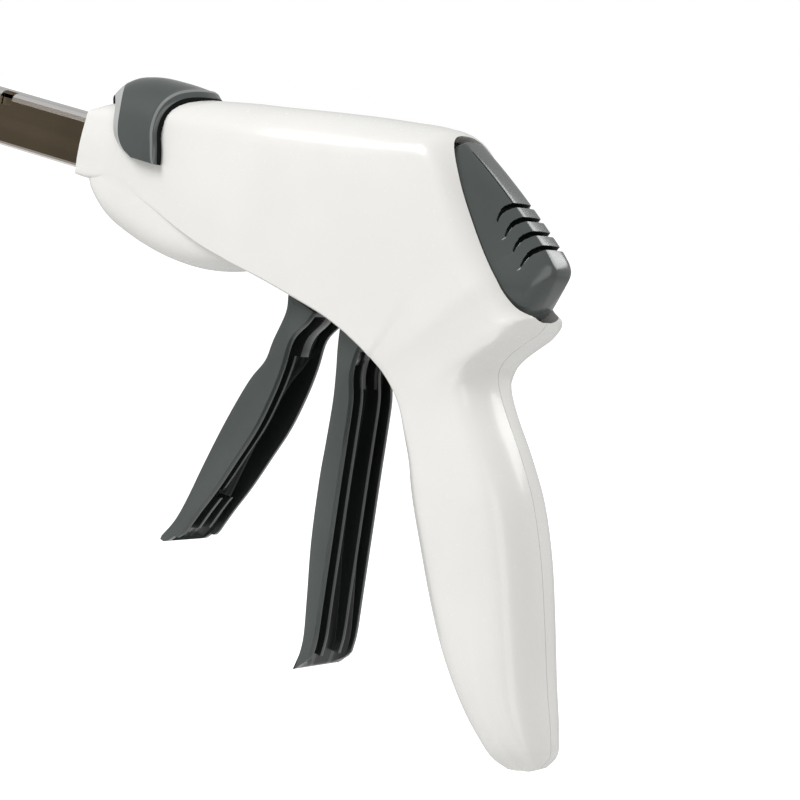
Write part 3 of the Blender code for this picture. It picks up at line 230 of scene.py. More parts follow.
def between(rows, steps):
    """A smooth run through rows of numbers, with steps of it to each row."""
    rows = [Vector(row) for row in rows]
    rows = [2 * rows[0] - rows[1]] + rows + [2 * rows[-1] - rows[-2]]
    run = []
    for a, b, c, d in zip(rows, rows[1:], rows[2:], rows[3:]):
        for k in range(steps):
            t = k / steps
            run.append(0.5 * (2 * b + (c - a) * t + (2 * a - 5 * b + 4 * c - d) * t * t
                              + (3 * b - a - 3 * c + d) * t ** 3))
    return run + [rows[-2]]


def read_table(table, place):
    """The value of a table at a place, straight between its entries."""
    for (a, low), (b, high) in zip(table, table[1:]):
        if place <= b:
            t = max(0.0, (place - a) / (b - a))
            return low + (high - low) * t
    return table[-1][1]


def smooth_table(table):
    """The same table with its steps rounded by a spline, so that no crease shows on the wall."""
    return [tuple(row) for row in between(table, 6)]


print("three points in four steps each give", len(between([(0, 0), (1, 1), (2, 0)], 4)))

# %% [markdown]
# A skin is a sleeve of four-sided faces through rings of points, closed at both ends. The same forms
# could be lofted surfaces, but rings keep full control of every edge and mesh evenly.

# %% Skins


def add_object(name, mesh, finish, sharp=35.0):
    dress(mesh, finish, sharp)
    made = bpy.data.objects.new(name, mesh)
    bpy.context.scene.collection.objects.link(made)
    return made


def skin(name, rings, finish, sharp=35.0):
    """Faces between rings of the same length, in millimetres."""
    bm = bmesh.new()
    rows = [[bm.verts.new(Vector(p) * MM) for p in ring] for ring in rings]
    for one, two in zip(rows, rows[1:]):
        for i in range(len(one)):
            j = (i + 1) % len(one)
            bm.faces.new((one[i], one[j], two[j], two[i]))
    bm.faces.new(list(reversed(rows[0])))
    bm.faces.new(rows[-1])
    bmesh.ops.recalc_face_normals(bm, faces=bm.faces)
    mesh = bpy.data.meshes.new(name)
    bm.to_mesh(mesh)
    bm.free()
    return add_object(name, mesh, finish, sharp)


def side_plate(name, outline, low, high, finish):
    """An outline seen from the side, thick from low to high across the object."""
    return skin(name, [[(x, y, z) for x, z in outline] for y in (low, high)], finish)


print("skins are measured in", MM, "m")

# %% [markdown]
# Openings, slots and lanes are cut out of a skin, as a mould would leave them out. Sharp edges could
# be modelled by hand; a bevel that only takes edges over an angle rounds them all at once. Each step
# is applied straight away, so that the next one meets a plain mesh.

# %% Cutting and rounding


def baked(piece):
    """Apply the modifiers of a piece and give back a plain one with the same name."""
    graph = bpy.context.evaluated_depsgraph_get()
    mesh = bpy.data.meshes.new_from_object(piece.evaluated_get(graph))
    name = piece.name
    look = piece.data.materials[0]
    bpy.data.objects.remove(piece, do_unlink=True)
    return add_object(name, mesh, look)


def carved(piece, *tools, way="DIFFERENCE"):
    """Cut the tools out of a piece, or join them to it, and drop them."""
    for tool in tools:
        step = piece.modifiers.new("cut", "BOOLEAN")
        step.operation = way
        step.object = tool
        step.solver = "EXACT"
    piece = baked(piece)
    for tool in tools:
        bpy.data.objects.remove(tool, do_unlink=True)
    return piece


def eased(piece, width, segments, angle):
    """Round the edges that turn more than an angle, by a width in millimetres."""
    step = piece.modifiers.new("round", "BEVEL")
    step.width = width * MM
    step.segments = segments
    step.limit_method = "ANGLE"
    step.angle_limit = math.radians(angle)
    return baked(piece)


def stand_for(piece, body, *nodes):
    """Hide the CAD nodes and let the piece ride where they rode."""
    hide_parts(*nodes)
    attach(piece, body)
    corners = [v.co for v in piece.data.vertices]
    size = [round((max(c[i] for c in corners) - min(c[i] for c in corners)) / MM, 1) for i in range(3)]
    print(piece.name, len(piece.data.polygons), "faces", size, "mm")


# %% [markdown]
# The housing is two moulded halves that flow from the nose over the back into the grip. It could be
# a box with rounded edges, but its shape lives in the side view. So the side view is a run of
# stations, each a line from the top or back edge to the lower or front edge. A station gives both
# ends of its line, and how far the wall rolls over at the upper and at the lower end: wide on top,
# and tight along the crease above the belly. The belly is a second run of stations, with the half
# width as its last number.

# %% Stations of the housing
NOSE = -154.5
BODY = [
    (NOSE, 80.2, NOSE, 60.8, 3.6, 2.0),
    (-149.0, 83.2, -148.6, 60.6, 6.0, 3.4),
    (-141.9, 86.0, -140.7, 60.2, 8.2, 5.6),
    (-133.2, 88.2, -131.6, 59.4, 9.0, 4.2),
    (-124.1, 89.9, -122.5, 57.8, 9.5, 2.0),
    (-115.0, 91.3, -112.5, 55.2, 10.0, 1.6),
    (-104.0, 93.0, -101.5, 52.8, 11.0, 1.5),
    (-92.0, 94.5, -90.0, 51.0, 11.5, 1.6),
    (-78.0, 96.4, -77.5, 48.9, 12.0, 2.5),
    (-64.0, 98.1, -65.5, 46.7, 12.0, 2.5),
    (-51.5, 99.3, -57.0, 44.9, 11.0, 2.5),
    (-42.5, 100.0, -50.5, 42.9, 9.5, 2.5),
    (-36.6, 99.3, -46.5, 41.3, 8.0, 2.5),
    (-31.0, 95.0, -43.8, 40.1, 8.5, 2.6),
    (-24.0, 86.4, -41.2, 38.8, 10.0, 2.7),
    (-16.5, 77.4, -39.0, 37.4, 11.0, 2.8),
    (-9.0, 68.8, -37.0, 36.0, 10.0, 2.9),
    (-2.8, 62.4, -35.3, 34.5, 8.5, 3.0),
    (0.2, 60.2, -34.0, 33.2, 7.0, 3.1),
    (-0.9, 56.2, -33.0, 32.0, 7.0, 3.3),
    (-4.6, 52.2, -31.8, 30.4, 7.2, 3.5),
    (-7.9, 48.4, -30.6, 28.5, 7.5, 3.8),
    (-10.0, 44.2, -29.4, 26.1, 6.8, 4.2),
    (-9.2, 39.8, -28.1, 22.5, 7.8, 5.0),
    (-5.2, 33.6, -26.1, 15.6, 8.8, 7.0),
    (1.6, 24.8, -22.4, 5.4, 9.4, 9.0),
    (8.6, 14.2, -16.6, -6.2, 9.6, 9.8),
    (14.9, 0.6, -10.3, -18.2, 9.8, 10.0),
    (20.6, -15.4, -4.0, -28.8, 9.8, 10.0),
    (25.4, -29.8, 3.0, -37.8, 9.4, 9.4),
    (29.4, -40.4, 10.2, -45.2, 8.0, 8.0),
    (30.9, -46.6, 16.8, -50.0, 5.4, 5.4),
    (28.8, -50.6, 22.4, -52.0, 2.4, 2.4),
]
BELLY = [
    (-151.0, 72.0, -151.0, 61.4, 7.6),
    (-149.0, 72.0, -149.2, 56.6, 8.6),
    (-143.0, 72.0, -142.6, 51.4, 9.5),
    (-134.7, 72.0, -134.0, 48.3, 10.0),
    (-124.5, 70.0, -124.1, 46.2, 10.4),
    (-114.5, 68.0, -114.0, 45.3, 11.0),
    (-104.5, 64.0, -103.5, 46.0, 11.8),
    (-96.0, 60.0, -94.5, 48.6, 11.0),
    (-89.0, 58.0, -87.5, 52.2, 9.0),
]
HOLLOW_ROWS = BODY[2:15] + BODY[22:-1]
print("housing rows", len(BODY), "belly rows", len(BELLY), "rows of the hollow", len(HOLLOW_ROWS))

# %% [markdown]
# Seen from above, the housing is slim at the nose and full over the mechanism, and the grip has its
# own width with a waist under the thumb. The two could meet in a hard line at the neck. A soft
# minimum of both widths lets them flow into each other instead, as the real moulding does.

# %% Width of the housing
BODY_WIDTHS = [(NOSE, 8.8), (-142.6, 9.9), (-130.8, 10.5), (-122.9, 11.0), (-115.0, 12.2), (-104.0, 14.2),
               (-92.0, 15.6), (-78.0, 16.2), (80.0, 16.2)]
GRIP_WIDTHS = [(-96.0, 5.0), (-91.0, 9.4), (-84.0, 11.8), (-74.0, 13.2), (-60.0, 13.9), (-40.0, 14.2),
               (-22.0, 14.0), (-8.0, 13.4), (0.0, 13.3), (8.0, 14.1), (16.0, 15.5), (24.0, 16.2),
               (99.0, 16.2)]
BODY_CURVE = smooth_table(BODY_WIDTHS)
GRIP_CURVE = smooth_table(GRIP_WIDTHS)
NECK_START = Vector((-30.0, 27.0))
NECK_RUN = (Vector((-10.0, 44.0)) - NECK_START).normalized()
SOFTNESS = 4.0


def wall_at(place):
    """Half the width of the housing at a place on its side."""
    past = (place - NECK_START).dot(Vector((-NECK_RUN.y, NECK_RUN.x)))
    body = read_table(BODY_CURVE, place.x)
    grip = read_table(GRIP_CURVE, past)
    return -math.log(math.exp(-SOFTNESS * body) + math.exp(-SOFTNESS * grip)) / SOFTNESS


print("half width at the nose", round(wall_at(Vector((NOSE, 70.0))), 2), "mm")

# %% [markdown]
# Each station becomes a ring: the wall starts at the parting plane, rolls over to the side, runs
# down it with a slight swell, and rolls back. A plain round corner would look machined, so the roll
# is a flattened arc. A depth into the wall gives the ring of the hollow inside.

# %% Rings of the body and the belly
SIDE_SWELL = 2.0


def rolled_edge(edge, inwards, reach, depth, steps):
    """The wall from the parting plane round to the side; a tight roll is squarer than a wide one."""
    power = 2 / min(6.0, max(2.2, 16.0 / reach))
    width = wall_at(edge + inwards * reach) - depth
    points = []
    for k in range(steps + 1):
        a = 0.5 * math.pi * k / steps
        place = edge + inwards * reach * (1 - math.cos(a) ** power)
        points.append(Vector((place.x, width * math.sin(a) ** power, place.y)))
    return points


def body_rings(stations, depth, fine, steps):
    rings = []
    for row in between(stations, fine):
        upper = Vector(row[0:2])
        lower = Vector(row[2:4])
        down = (lower - upper).normalized()
        first = rolled_edge(upper + down * depth, down, max(1.0, row[4] - depth), depth, steps)
        last = rolled_edge(lower - down * depth, -down, max(1.0, row[5] - depth), depth, steps)
        wall = []
        for k in range(1, 4):
            point = first[-1].lerp(last[-1], k / 4)
            point.y += SIDE_SWELL * (k / 4) * (1 - k / 4)
            wall.append(point)
        side = first + wall + list(reversed(last))
        rings.append(side + [Vector((p.x, -p.y, p.z)) for p in reversed(side[1:-1])])
    return rings


def belly_rings(depth, fine, count):
    rings = []
    for row in between(BELLY, fine):
        upper = Vector(row[0:2])
        lower = Vector(row[2:4])
        straight = (lower - upper).normalized() * depth
        upper += straight
        lower -= straight
        ring = []
        for i in range(count):
            a = 2 * math.pi * i / count
            power = 2 / (2.6 if math.sin(a) < 0 else 3.0)
            rise = math.copysign(abs(math.sin(a)) ** power, math.sin(a))
            side = math.copysign(abs(math.cos(a)) ** power, math.cos(a)) * (row[4] - depth)
            place = (upper + lower) * 0.5 + (upper - lower) * 0.5 * rise
            ring.append((place.x, side, place.y))
        rings.append(ring)
    return rings


print("points in a ring of the body", len(body_rings(BODY[:2], 0.0, 1, 8)[0]))

# %% [markdown]
# The release button sits in a long opening, round at both ends, that slopes down the back of the
# handle. It could be placed with a rotated object. Measuring everything from one sloping line keeps
# button, opening and skirt on the same seat.

# %% Seat of the button
SLOPE = math.radians(50.0)
ALONG = Vector((math.cos(SLOPE), -math.sin(SLOPE)))
OUT = Vector((math.sin(SLOPE), math.cos(SLOPE)))
BUTTON_START = Vector((-36.0, 96.5))
BUTTON_MIDDLE = 25.0
BUTTON_REACH = 26.0
BUTTON_HALF = 11.0


def on_button(s, y, h):
    """A place at s along the button, y across it and h above its base."""
    place = BUTTON_START + ALONG * s + OUT * h
    return (place.x, y, place.y)


def button_edge(s, grow=0.0):
    """Half the width of the outline at s, grown all round."""
    reach = min(1.0, abs(s - BUTTON_MIDDLE) / (BUTTON_REACH + grow))
    return (BUTTON_HALF + grow) * (1 - reach ** 4) ** (1 / 3)


def button_places(grow, count):
    """Places along the outline that crowd towards its round ends."""
    return [BUTTON_MIDDLE + (BUTTON_REACH + grow) * 0.998 * math.sin(math.pi * (i / count - 0.5))
            for i in range(count + 1)]


print("button starts at", [round(v, 1) for v in on_button(BUTTON_MIDDLE - BUTTON_REACH, 0, 0)])

# %% [markdown]
# The real shell is a thin wall round the mechanism, with a mouth for the shaft, a slot under the
# thumb slide, a slot for the two triggers and the recess of the button. The wall could be offset by
# a modifier, but that folds over itself in tight corners. A second, smaller skin is cut out instead,
# and it skips the tight rows, where the wall stays solid.

# %% Openings of the housing
BODY_WALL = 2.6
BELLY_WALL = 2.0
RECESS_GROW = 1.1
RECESS_INSET = 0.6
SLOT_HALF = 11.2
SLOT_CORNERS = [(-77.0, 56.0), (-77.0, 40.0), (-50.0, 20.0), (-34.0, 11.0), (-22.4, 11.0), (-20.5, 18.0),
                (-26.0, 30.0), (-32.0, 56.0)]


def box_tool(name, x_low, z_low, x_high, z_high, half):
    corners = [(x_low, z_low), (x_high, z_low), (x_high, z_high), (x_low, z_high)]
    return side_plate(name, corners, -half, half, WHITE)


def rounded_outline(corners, radius, steps=6):
    points = []
    for i, corner in enumerate(corners):
        here = Vector(corner)
        before = Vector(corners[i - 1]) - here
        after = Vector(corners[(i + 1) % len(corners)]) - here
        reach = min(radius, 0.45 * before.length, 0.45 * after.length)
        first = here + before.normalized() * reach
        last = here + after.normalized() * reach
        for k in range(steps + 1):
            t = k / steps
            points.append(tuple(first * (1 - t) ** 2 + here * (2 * t * (1 - t)) + last * t ** 2))
    return points


def recess_rings():
    rings = []
    for s in button_places(RECESS_GROW, 40):
        half = max(0.3, button_edge(s, RECESS_GROW) - RECESS_INSET)
        rings.append([on_button(s, -half, -9.0), on_button(s, half, -9.0), on_button(s, half, 16.0),
                      on_button(s, -half, 16.0)])
    return rings


def opening_tools():
    return [skin("hollow", body_rings(HOLLOW_ROWS, BODY_WALL, 1, 3), WHITE),
            skin("belly hollow", belly_rings(BELLY_WALL, 1, 16)[2:-1], WHITE),
            side_plate("slot", rounded_outline(SLOT_CORNERS, 3.0), -SLOT_HALF, SLOT_HALF, WHITE),
            box_tool("nose", NOSE - 5, 62.0, -137.9, 78.4, 5.9),
            box_tool("slide", -152.0, 76.0, -129.9, 95.0, 1.6),
            skin("recess", recess_rings(), WHITE)]


print("corners of the trigger slot", len(rounded_outline(SLOT_CORNERS, 3.0)))

# %% [markdown]
# Two mirrored shells could be drawn one after the other. Both halves come from one shape here, so
# that they meet exactly. Each is cut back a little at the parting plane, which leaves the fine line
# that runs down the back of the grip.

# %% The two halves
PARTING_GAP = 0.12
FAR_SIDE = [(-200, -80), (80, -80), (80, 130), (-200, 130)]
whole = skin("left_shroud_shell", body_rings(BODY, 0.0, 4, 8), WHITE)
whole = carved(whole, skin("belly", belly_rings(0.0, 4, 40), WHITE), way="UNION")
whole = carved(whole, *opening_tools())
twin = bpy.data.objects.new("right_shroud_shell", whole.data.copy())
bpy.context.scene.collection.objects.link(twin)
for piece, side, node in ((whole, -1, "left_shroud"), (twin, 1, "right_shroud")):
    low, high = sorted((-side * 60.0, side * PARTING_GAP))
    keep_out = side_plate("far side", FAR_SIDE, low, high, WHITE)
    stand_for(carved(piece, keep_out), "housing", node)

# %% [markdown]
# The release button is one grey moulding. Its flanks lean in to a crisp ridge, the crown is flat and
# rises towards the lower end, which is round and full. Four narrow finger grooves run across it with
# short tails down the flanks. Cutting bars out of the button would give straight tails; here every
# ring of the skin is pressed in where a groove passes, so the tails can sweep.

# %% Section of the button
CROWN = [(-2.0, 1.8), (0.2, 2.6), (8.1, 5.4), (16.5, 8.0), (24.0, 10.0), (31.0, 11.7), (37.0, 13.0),
         (41.5, 13.3), (43.6, 12.3), (45.7, 9.6), (47.7, 6.0), (49.6, 1.8)]
CROWN_CURVE = smooth_table(CROWN)
CROWN_HALF = 4.7
CAP_SQUEEZE = 1.05
GROOVES = [22.0, 26.5, 31.0, 35.5]
GROOVE_HALF = 0.72
GROOVE_DEPTH = 2.1
GROOVE_STEPS = (-1.7, -1.0, -0.74, -0.71, -0.66, -0.5, -0.25, 0.0, 0.25, 0.5, 0.66, 0.71, 0.74, 1.0)
TAIL_SWEEP = 3.0


def groove_depth(s, slant):
    """How deep the grooves cut at s; slant is how far round the flank the point lies."""
    deepest = 0.0
    for place in GROOVES:
        away = abs(s - place) / (GROOVE_HALF * (0.35 + 0.65 * slant))
        if away < 1.0:
            deepest = max(deepest, GROOVE_DEPTH * (1 - away ** 6))
    return deepest * slant


def button_section(s):
    """Half of the outline across the button at s: y, height, and how near the crown."""
    base = max(0.25, button_edge((s - BUTTON_MIDDLE) * CAP_SQUEEZE + BUTTON_MIDDLE))
    height = read_table(CROWN_CURVE, s)
    crown = min(CROWN_HALF, 0.82 * base) * (1.0 if s < 40 else max(0.25, 1.0 - (s - 40.0) / 18.0))
    half = [(base, -0.6, 0.0), (base, -0.1, 0.0)]
    for k in range(1, 10):
        t = k / 10
        swell = math.sin(math.pi * t)
        bulge = 0.7 * swell + (0.9 * swell * max(0.0, s - 34.0) / 14.0)
        half.append((base + (crown - base) * t + bulge, height * t + 0.2 * bulge,
                     min(1.0, max(0.0, (t - 0.48) / 0.4))))
    half += [(crown, height - 0.12, 1.0), (crown - 0.3, height, 1.0), (crown * 0.6, height + 0.1, 1.0)]
    return half, height


def button_stations():
    """Close rows where a groove cuts and wider ones elsewhere."""
    places = [0.35 + 49.3 * 0.5 * (1 - math.cos(math.pi * i / 90)) for i in range(91)]
    for groove in GROOVES:
        places += [groove + step for step in GROOVE_STEPS]
    places.sort()
    return [b for a, b in zip([-9.0] + places, places) if b - a > 0.02]


print("stations along the button", len(button_stations()), "grooves", len(GROOVES))

# %% [markdown]
# The cap is skinned through those sections. Where a groove cuts, and along the crisp ridge, the real
# button looks nearly black, because hardly any light comes back out. A picture could paint that; the
# faces that a groove touches, and a thin line along the ridge, take a second finish of near-black
# painted shade instead.

# %% The button cap
# Near-black painted shade for the grooves and ridge line of the button, the gap round it and the underside
# of the slide.
DEEP_SHADE = moulded("painted shade of deep recesses", (0.006, 0.007, 0.007), (0.005, 0.006, 0.006), 0.6, 0.1, specular=0.1)


def button_ring(s):
    """The whole ring at s, with the depth of the grooves at each of its points."""
    half, height = button_section(s)
    sweep = TAIL_SWEEP * min(1.0, max(0.0, (s - 6.0) / 14.0), max(0.0, (50.0 - s) / 12.0))
    warped = [button_section(s + sweep * (1 - f) ** 2)[0][k] for k, (y, h, f) in enumerate(half)]
    places = [s + sweep * (1 - f) ** 2 for y, h, f in warped]
    run = list(zip(warped, places)) + [((0.0, height + 0.14, 1.0), s)]
    run += [((-y, h, f), at) for (y, h, f), at in reversed(run[:-1])]
    ring = []
    depths = []
    for (y, h, slant), at in run:
        cut = groove_depth(s, slant)
        inward = Vector((-y, 1.0 - h))
        if cut > 0.0 and inward.length > 0.01:
            step = inward.normalized() * cut
            y, h = y + step.x, h + step.y
        ring.append(on_button(at, y, h))
        depths.append(cut)
    return ring, depths


made_rings = [button_ring(s) for s in button_stations()]
rings = [ring for ring, depths in made_rings]
cuts = [depths for ring, depths in made_rings]
button = skin("release_button_cap", rings, GREY, sharp=38.0)
button.data.materials.append(DEEP_SHADE)
SIDES = len(rings[0])
EDGE = len(button_section(0.0)[0]) - 3
for index, face in enumerate(button.data.polygons):
    row, k = divmod(index, SIDES)
    if row + 1 >= len(rings):
        continue
    after = (k + 1) % SIDES
    corners = (cuts[row][k], cuts[row][after], cuts[row + 1][k], cuts[row + 1][after])
    from_start = face.center / MM - Vector((BUTTON_START.x, 0, BUTTON_START.y))
    along = from_start.dot(Vector((ALONG.x, 0, ALONG.y)))
    ridge_shade_line = k in (EDGE, SIDES - 2 - EDGE) and 4.0 < along < GROOVES[0]
    # Faces that a groove cuts, and a thin line along the ridge, take the painted shade.
    if sum(corners) > 1.2 or ridge_shade_line:
        face.material_index = 1
stand_for(button, "button_body", "release_button")

# %% [markdown]
# Round the cap a narrow dark gap shows, with the foot of the button in its depth. The gap could stay
# empty, but then one would see into the shell. A flat skirt on the same outline fills it with
# near-black painted shade, and it rides on the button so that the gap stays even when the button is
# pressed.

# %% The button skirt
SKIRT_GROW = 0.75
SKIRT_INSET = 0.45
rings = []
for s in button_places(SKIRT_GROW, 36):
    half = max(0.2, button_edge(s, SKIRT_GROW) - SKIRT_INSET)
    right_side = [(half, -3.0), (half, -1.9), (0.9 * half, -1.6)]
    left_side = [(-y, h) for y, h in reversed(right_side)]
    rings.append([on_button(s, y, h) for y, h in right_side + left_side])
# The skirt stands for the foot of the button, in a near-black colour of painted shade.
skirt = skin("release_button_skirt_in_painted_shade", rings, DEEP_SHADE)
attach(skirt, "button_body")
print(skirt.name, len(skirt.data.polygons), "faces")

# %% [markdown]
# The thumb slide is a thin arch that stands clear of the neck. Its front rim is a pale chamfer, its
# sides are cut away behind in a curve, and a short tail runs back along the top. It could be cut
# from a bent plate. A grid from leg to leg and from front to rear is simpler, because the front and
# rear rims are then just two tables of places along the shaft.

# %% Curves of the saddle slide
SADDLE_TOP = [(-151.2, 82.7), (-149.4, 85.8), (-146.8, 89.4), (-143.5, 91.7), (-140.0, 92.7), (-136.0, 93.3),
              (-131.0, 93.4), (-126.0, 93.3), (-121.0, 92.9), (-116.5, 92.2)]
SADDLE_FRONT = [(0.0, -151.0), (0.15, -150.6), (0.3, -149.2), (0.45, -147.0), (0.6, -144.9), (0.72, -143.5),
                (0.82, -142.6), (0.9, -141.4), (0.95, -139.4), (0.98, -137.0), (1.0, -133.6)]
SADDLE_REAR = [(0.0, -116.6), (0.1, -117.2), (0.22, -119.4), (0.34, -122.2), (0.5, -124.6), (0.64, -125.4),
               (0.78, -125.0), (0.9, -123.4), (1.0, -122.4)]
SADDLE_CURVE = smooth_table(SADDLE_TOP)
FRONT_CURVE = smooth_table(SADDLE_FRONT)
REAR_CURVE = smooth_table(SADDLE_REAR)
SADDLE_HALF = 11.5
SADDLE_SPREAD = 2.9
SADDLE_FOOT = 70.6
ARCH_POWER = 2 / 2.35
CHAMFER_DEPTH = 0.85
CHAMFER_SHARE = 0.16
LIP_HEIGHT = 0.22
LIP_PLACE = 0.965


def saddle_point(a, u, depth):
    """A place on the arch: a across from leg to leg, u from front to rear, depth into the wall."""
    reach = abs(a)
    x = read_table(FRONT_CURVE, reach) * (1 - u) + read_table(REAR_CURVE, reach) * u
    half = SADDLE_HALF + SADDLE_SPREAD * min(1.0, max(0.0, (x + 150.0) / 22.0)) - depth
    leg = SADDLE_FOOT + 2.2 * max(0.0, (-134.0 - x) / 10.0) ** 2
    turn = 0.5 * math.pi * reach
    top = read_table(SADDLE_CURVE, x) - depth
    side = math.copysign(half * math.sin(turn) ** ARCH_POWER, a)
    return (x, side, leg + (top - leg) * max(0.0, math.cos(turn)) ** ARCH_POWER)


def rim_depth(u):
    """The chamfer of the front rim and the small lip of the rear rim."""
    front = CHAMFER_DEPTH * max(0.0, 1 - u / CHAMFER_SHARE)
    lip = -LIP_HEIGHT * max(0.0, 1 - abs(u - LIP_PLACE) / 0.035)
    return front + lip


print("top of the arch at", round(saddle_point(0.0, 0.5, 0.0)[2], 1), "mm")

# %% [markdown]
# The wall of the arch is thinner at the tip of the tail. The rear rim slants inwards, so that its
# dark inner face shows from behind, as on the real slide; that inner face is near-black painted
# shade. Each face of the grid knows its place from front to rear, so the painted highlights of the
# pale chamfer and the bright lip and the painted shade of the dark underside are finishes on ranges
# of that place.

# %% The saddle slide
# Lighter greys of the slide's own plastic, as painted highlights: one on the rear lip, one on the front
# chamfer.
RIM_HIGHLIGHT = moulded("painted highlight on the rims", (0.26, 0.27, 0.265), (0.22, 0.23, 0.225), 0.16, 0.08, 0.6)
PALE_HIGHLIGHT = moulded("painted highlight on the front rim", (0.52, 0.53, 0.52), (0.46, 0.47, 0.46), 0.16, 0.04, 0.5)
ACROSS = 72
PLACES = ([0.0, 0.04, 0.08, 0.12, 0.16] + [0.16 + 0.76 * k / 16 for k in range(1, 16)]
          + [0.93, 0.95, 0.965, 0.98, 1.0])
OUTSIDE_SHARE = 0.92
SADDLE_WALL = 2.4
rings = []
for i in range(ACROSS + 1):
    a = math.sin(0.5 * math.pi * (-1 + 2 * i / ACROSS))
    tail = 1.6 * max(0.0, 1 - abs(a) / 0.3)
    outside = [saddle_point(a, OUTSIDE_SHARE * u, rim_depth(u)) for u in PLACES]
    middle = saddle_point(a, 0.97, 1.0)
    inside = [saddle_point(a, u, SADDLE_WALL - tail * u * u) for u in reversed(PLACES)]
    rings.append(outside + [middle] + inside)
saddle = skin("saddle_slide_arch", rings, GREY, sharp=32.0)
for finish in (DEEP_SHADE, RIM_HIGHLIGHT, PALE_HIGHLIGHT):
    saddle.data.materials.append(finish)
COUNT = len(PLACES)
for index, face in enumerate(saddle.data.polygons):
    spot = index % (2 * COUNT + 1)
    if index >= ACROSS * (2 * COUNT + 1):
        continue
    # Painted highlight on the front chamfer and the rear lip, painted shade on the whole inner side.
    if spot < 4:
        face.material_index = 3
    elif COUNT - 4 <= spot < COUNT - 1:
        face.material_index = 2
    elif spot >= COUNT:
        face.material_index = 1
stand_for(saddle, "pin_slide_body", "saddle_slide")

# %% [markdown]
# Each trigger is a moulded trough that is open towards the hand. Its front is rounded for the
# fingers, ribs run down the hollow, a sloping shelf closes it at the top and the foot ends in a thin
# sloping edge. A solid lever with a groove would look heavy. Side-view lines for the front, the foot
# and the rear, swept across the width, give the outer form, and a smaller sweep gives the tool that
# hollows it.

# %% Lines and form of the triggers
# Near-black painted shade for the hollow of the triggers, and a lighter painted shade for the rib tops in
# it.
HOLLOW_SHADE = moulded("painted shade in the hollow of the triggers", (0.012, 0.015, 0.014), (0.01, 0.012, 0.011), 0.3, 0.1, 0.1)
RIB_SHADE = moulded("lighter painted shade on the ribs of the triggers", (0.05, 0.058, 0.055), (0.045, 0.052, 0.05), 0.22, 0.1, 0.4)
FIRE_FRONT = [(-74.6, 47.0), (-74.1, 42.0), (-76.1, 33.8), (-77.2, 27.9), (-80.8, 21.4), (-85.2, 9.4),
              (-89.1, -3.6), (-92.4, -15.8), (-94.8, -22.5), (-98.0, -27.8)]
FIRE_FOOT = [(-96.9, -28.6), (-95.6, -28.9), (-94.4, -28.4), (-93.4, -27.4), (-92.4, -26.4), (-91.2, -26.4)]
FIRE_REAR = [(-89.8, -25.0), (-86.6, -18.2), (-82.4, -10.0), (-78.2, -0.4), (-74.1, 9.4), (-71.3, 19.8),
             (-70.0, 27.5), (-69.2, 35.5), (-65.6, 41.0), (-63.8, 44.6)]
CLOSE_FRONT = [(-55.5, 45.6), (-54.6, 38.4), (-53.3, 31.7), (-52.1, 23.9), (-51.3, 13.1), (-50.6, 2.4),
               (-48.7, -13.6), (-45.8, -29.2), (-44.1, -39.8), (-44.7, -47.8)]
CLOSE_FOOT = [(-43.8, -47.9), (-42.8, -47.2), (-41.8, -46.0), (-40.8, -45.0)]
CLOSE_REAR = [(-39.4, -43.4), (-39.2, -38.0), (-40.2, -27.8), (-41.8, -11.6), (-43.4, 4.3), (-44.4, 15.0),
              (-45.5, 25.2), (-47.3, 32.0), (-47.0, 38.0), (-45.4, 43.0)]
LOWEST = -60.0
TRIGGER_WALL = 1.7
TRIGGER_WEB = 2.2


def smooth_line(points):
    return [(p.x, p.y) for p in between(points, 5)]


def height_span(line, low, high):
    return [p for p in line if low < p[1] < high]


def trough(name, front, foot, rear, half, pocket_high, shelf_rise):
    """The outer form and the tool of its hollow, both skinned from one side to the other."""
    front_line = smooth_line(front)
    rear_line = smooth_line(rear)
    rings = []
    for k in range(-10, 11):
        y = half * math.sin(0.5 * math.pi * k / 10)
        roll = 1.7 * abs(y / half) ** 5 - 0.35
        lip = 0.5 * abs(y / half) ** 9
        ring = [(x + roll, y, z) for x, z in front_line] + [(x, y, z) for x, z in foot]
        rings.append(ring + [(x - lip, y, z) for x, z in rear_line])
    body = skin(name, rings, GREY)
    inner = half - TRIGGER_WALL
    floor_line = height_span(front_line, LOWEST, pocket_high)
    rings = []
    for k in range(-8, 9):
        y = inner * math.sin(0.5 * math.pi * k / 8)
        fillet = TRIGGER_WEB + 1.3 * abs(y / inner) ** 6
        ring = [(x + fillet, y, z) for x, z in floor_line]
        top = ring[0]
        low = ring[-1]
        rings.append(ring + [(low[0] + 2.0, y, low[2] - 1.4), (low[0] + 30.0, y, low[2] - 1.8),
                             (top[0] + 30.0, y, top[2] + shelf_rise * 3.0), (top[0] + 1.2, y, top[2] + 0.9)])
    return body, skin(name + " hollow", rings, HOLLOW_SHADE), front_line, rear_line


print("points down the front of a trigger", len(smooth_line(FIRE_FRONT)))

# %% [markdown]
# Ribs stiffen the trough, and steel levers are moulded into its head. The ribs could be a pattern in
# the finish, but from behind they are what one sees, so they are real plates joined to the wall. The
# levers stay CAD nodes, so the head gets slots that they fill. Inside, painted shade stands for the
# light that is lost there: near-black on walls and floor, a lighter painted shade on the rib tops.

# %% Ribs, lever slots and the painted shade of the hollow
LEVER_R = 2.3


def rib(front_line, rear_line, y, set_back, low, high, thick=1.3):
    """One rib down the hollow: from inside the front wall to a line just ahead of the rear edges."""
    first = [(x + 1.4, z) for x, z in height_span(front_line, low, high)]
    last = [(x - set_back, z) for x, z in height_span(rear_line, low, high)]
    return side_plate("rib", first + last, y - 0.5 * thick, y + 0.5 * thick, GREY)


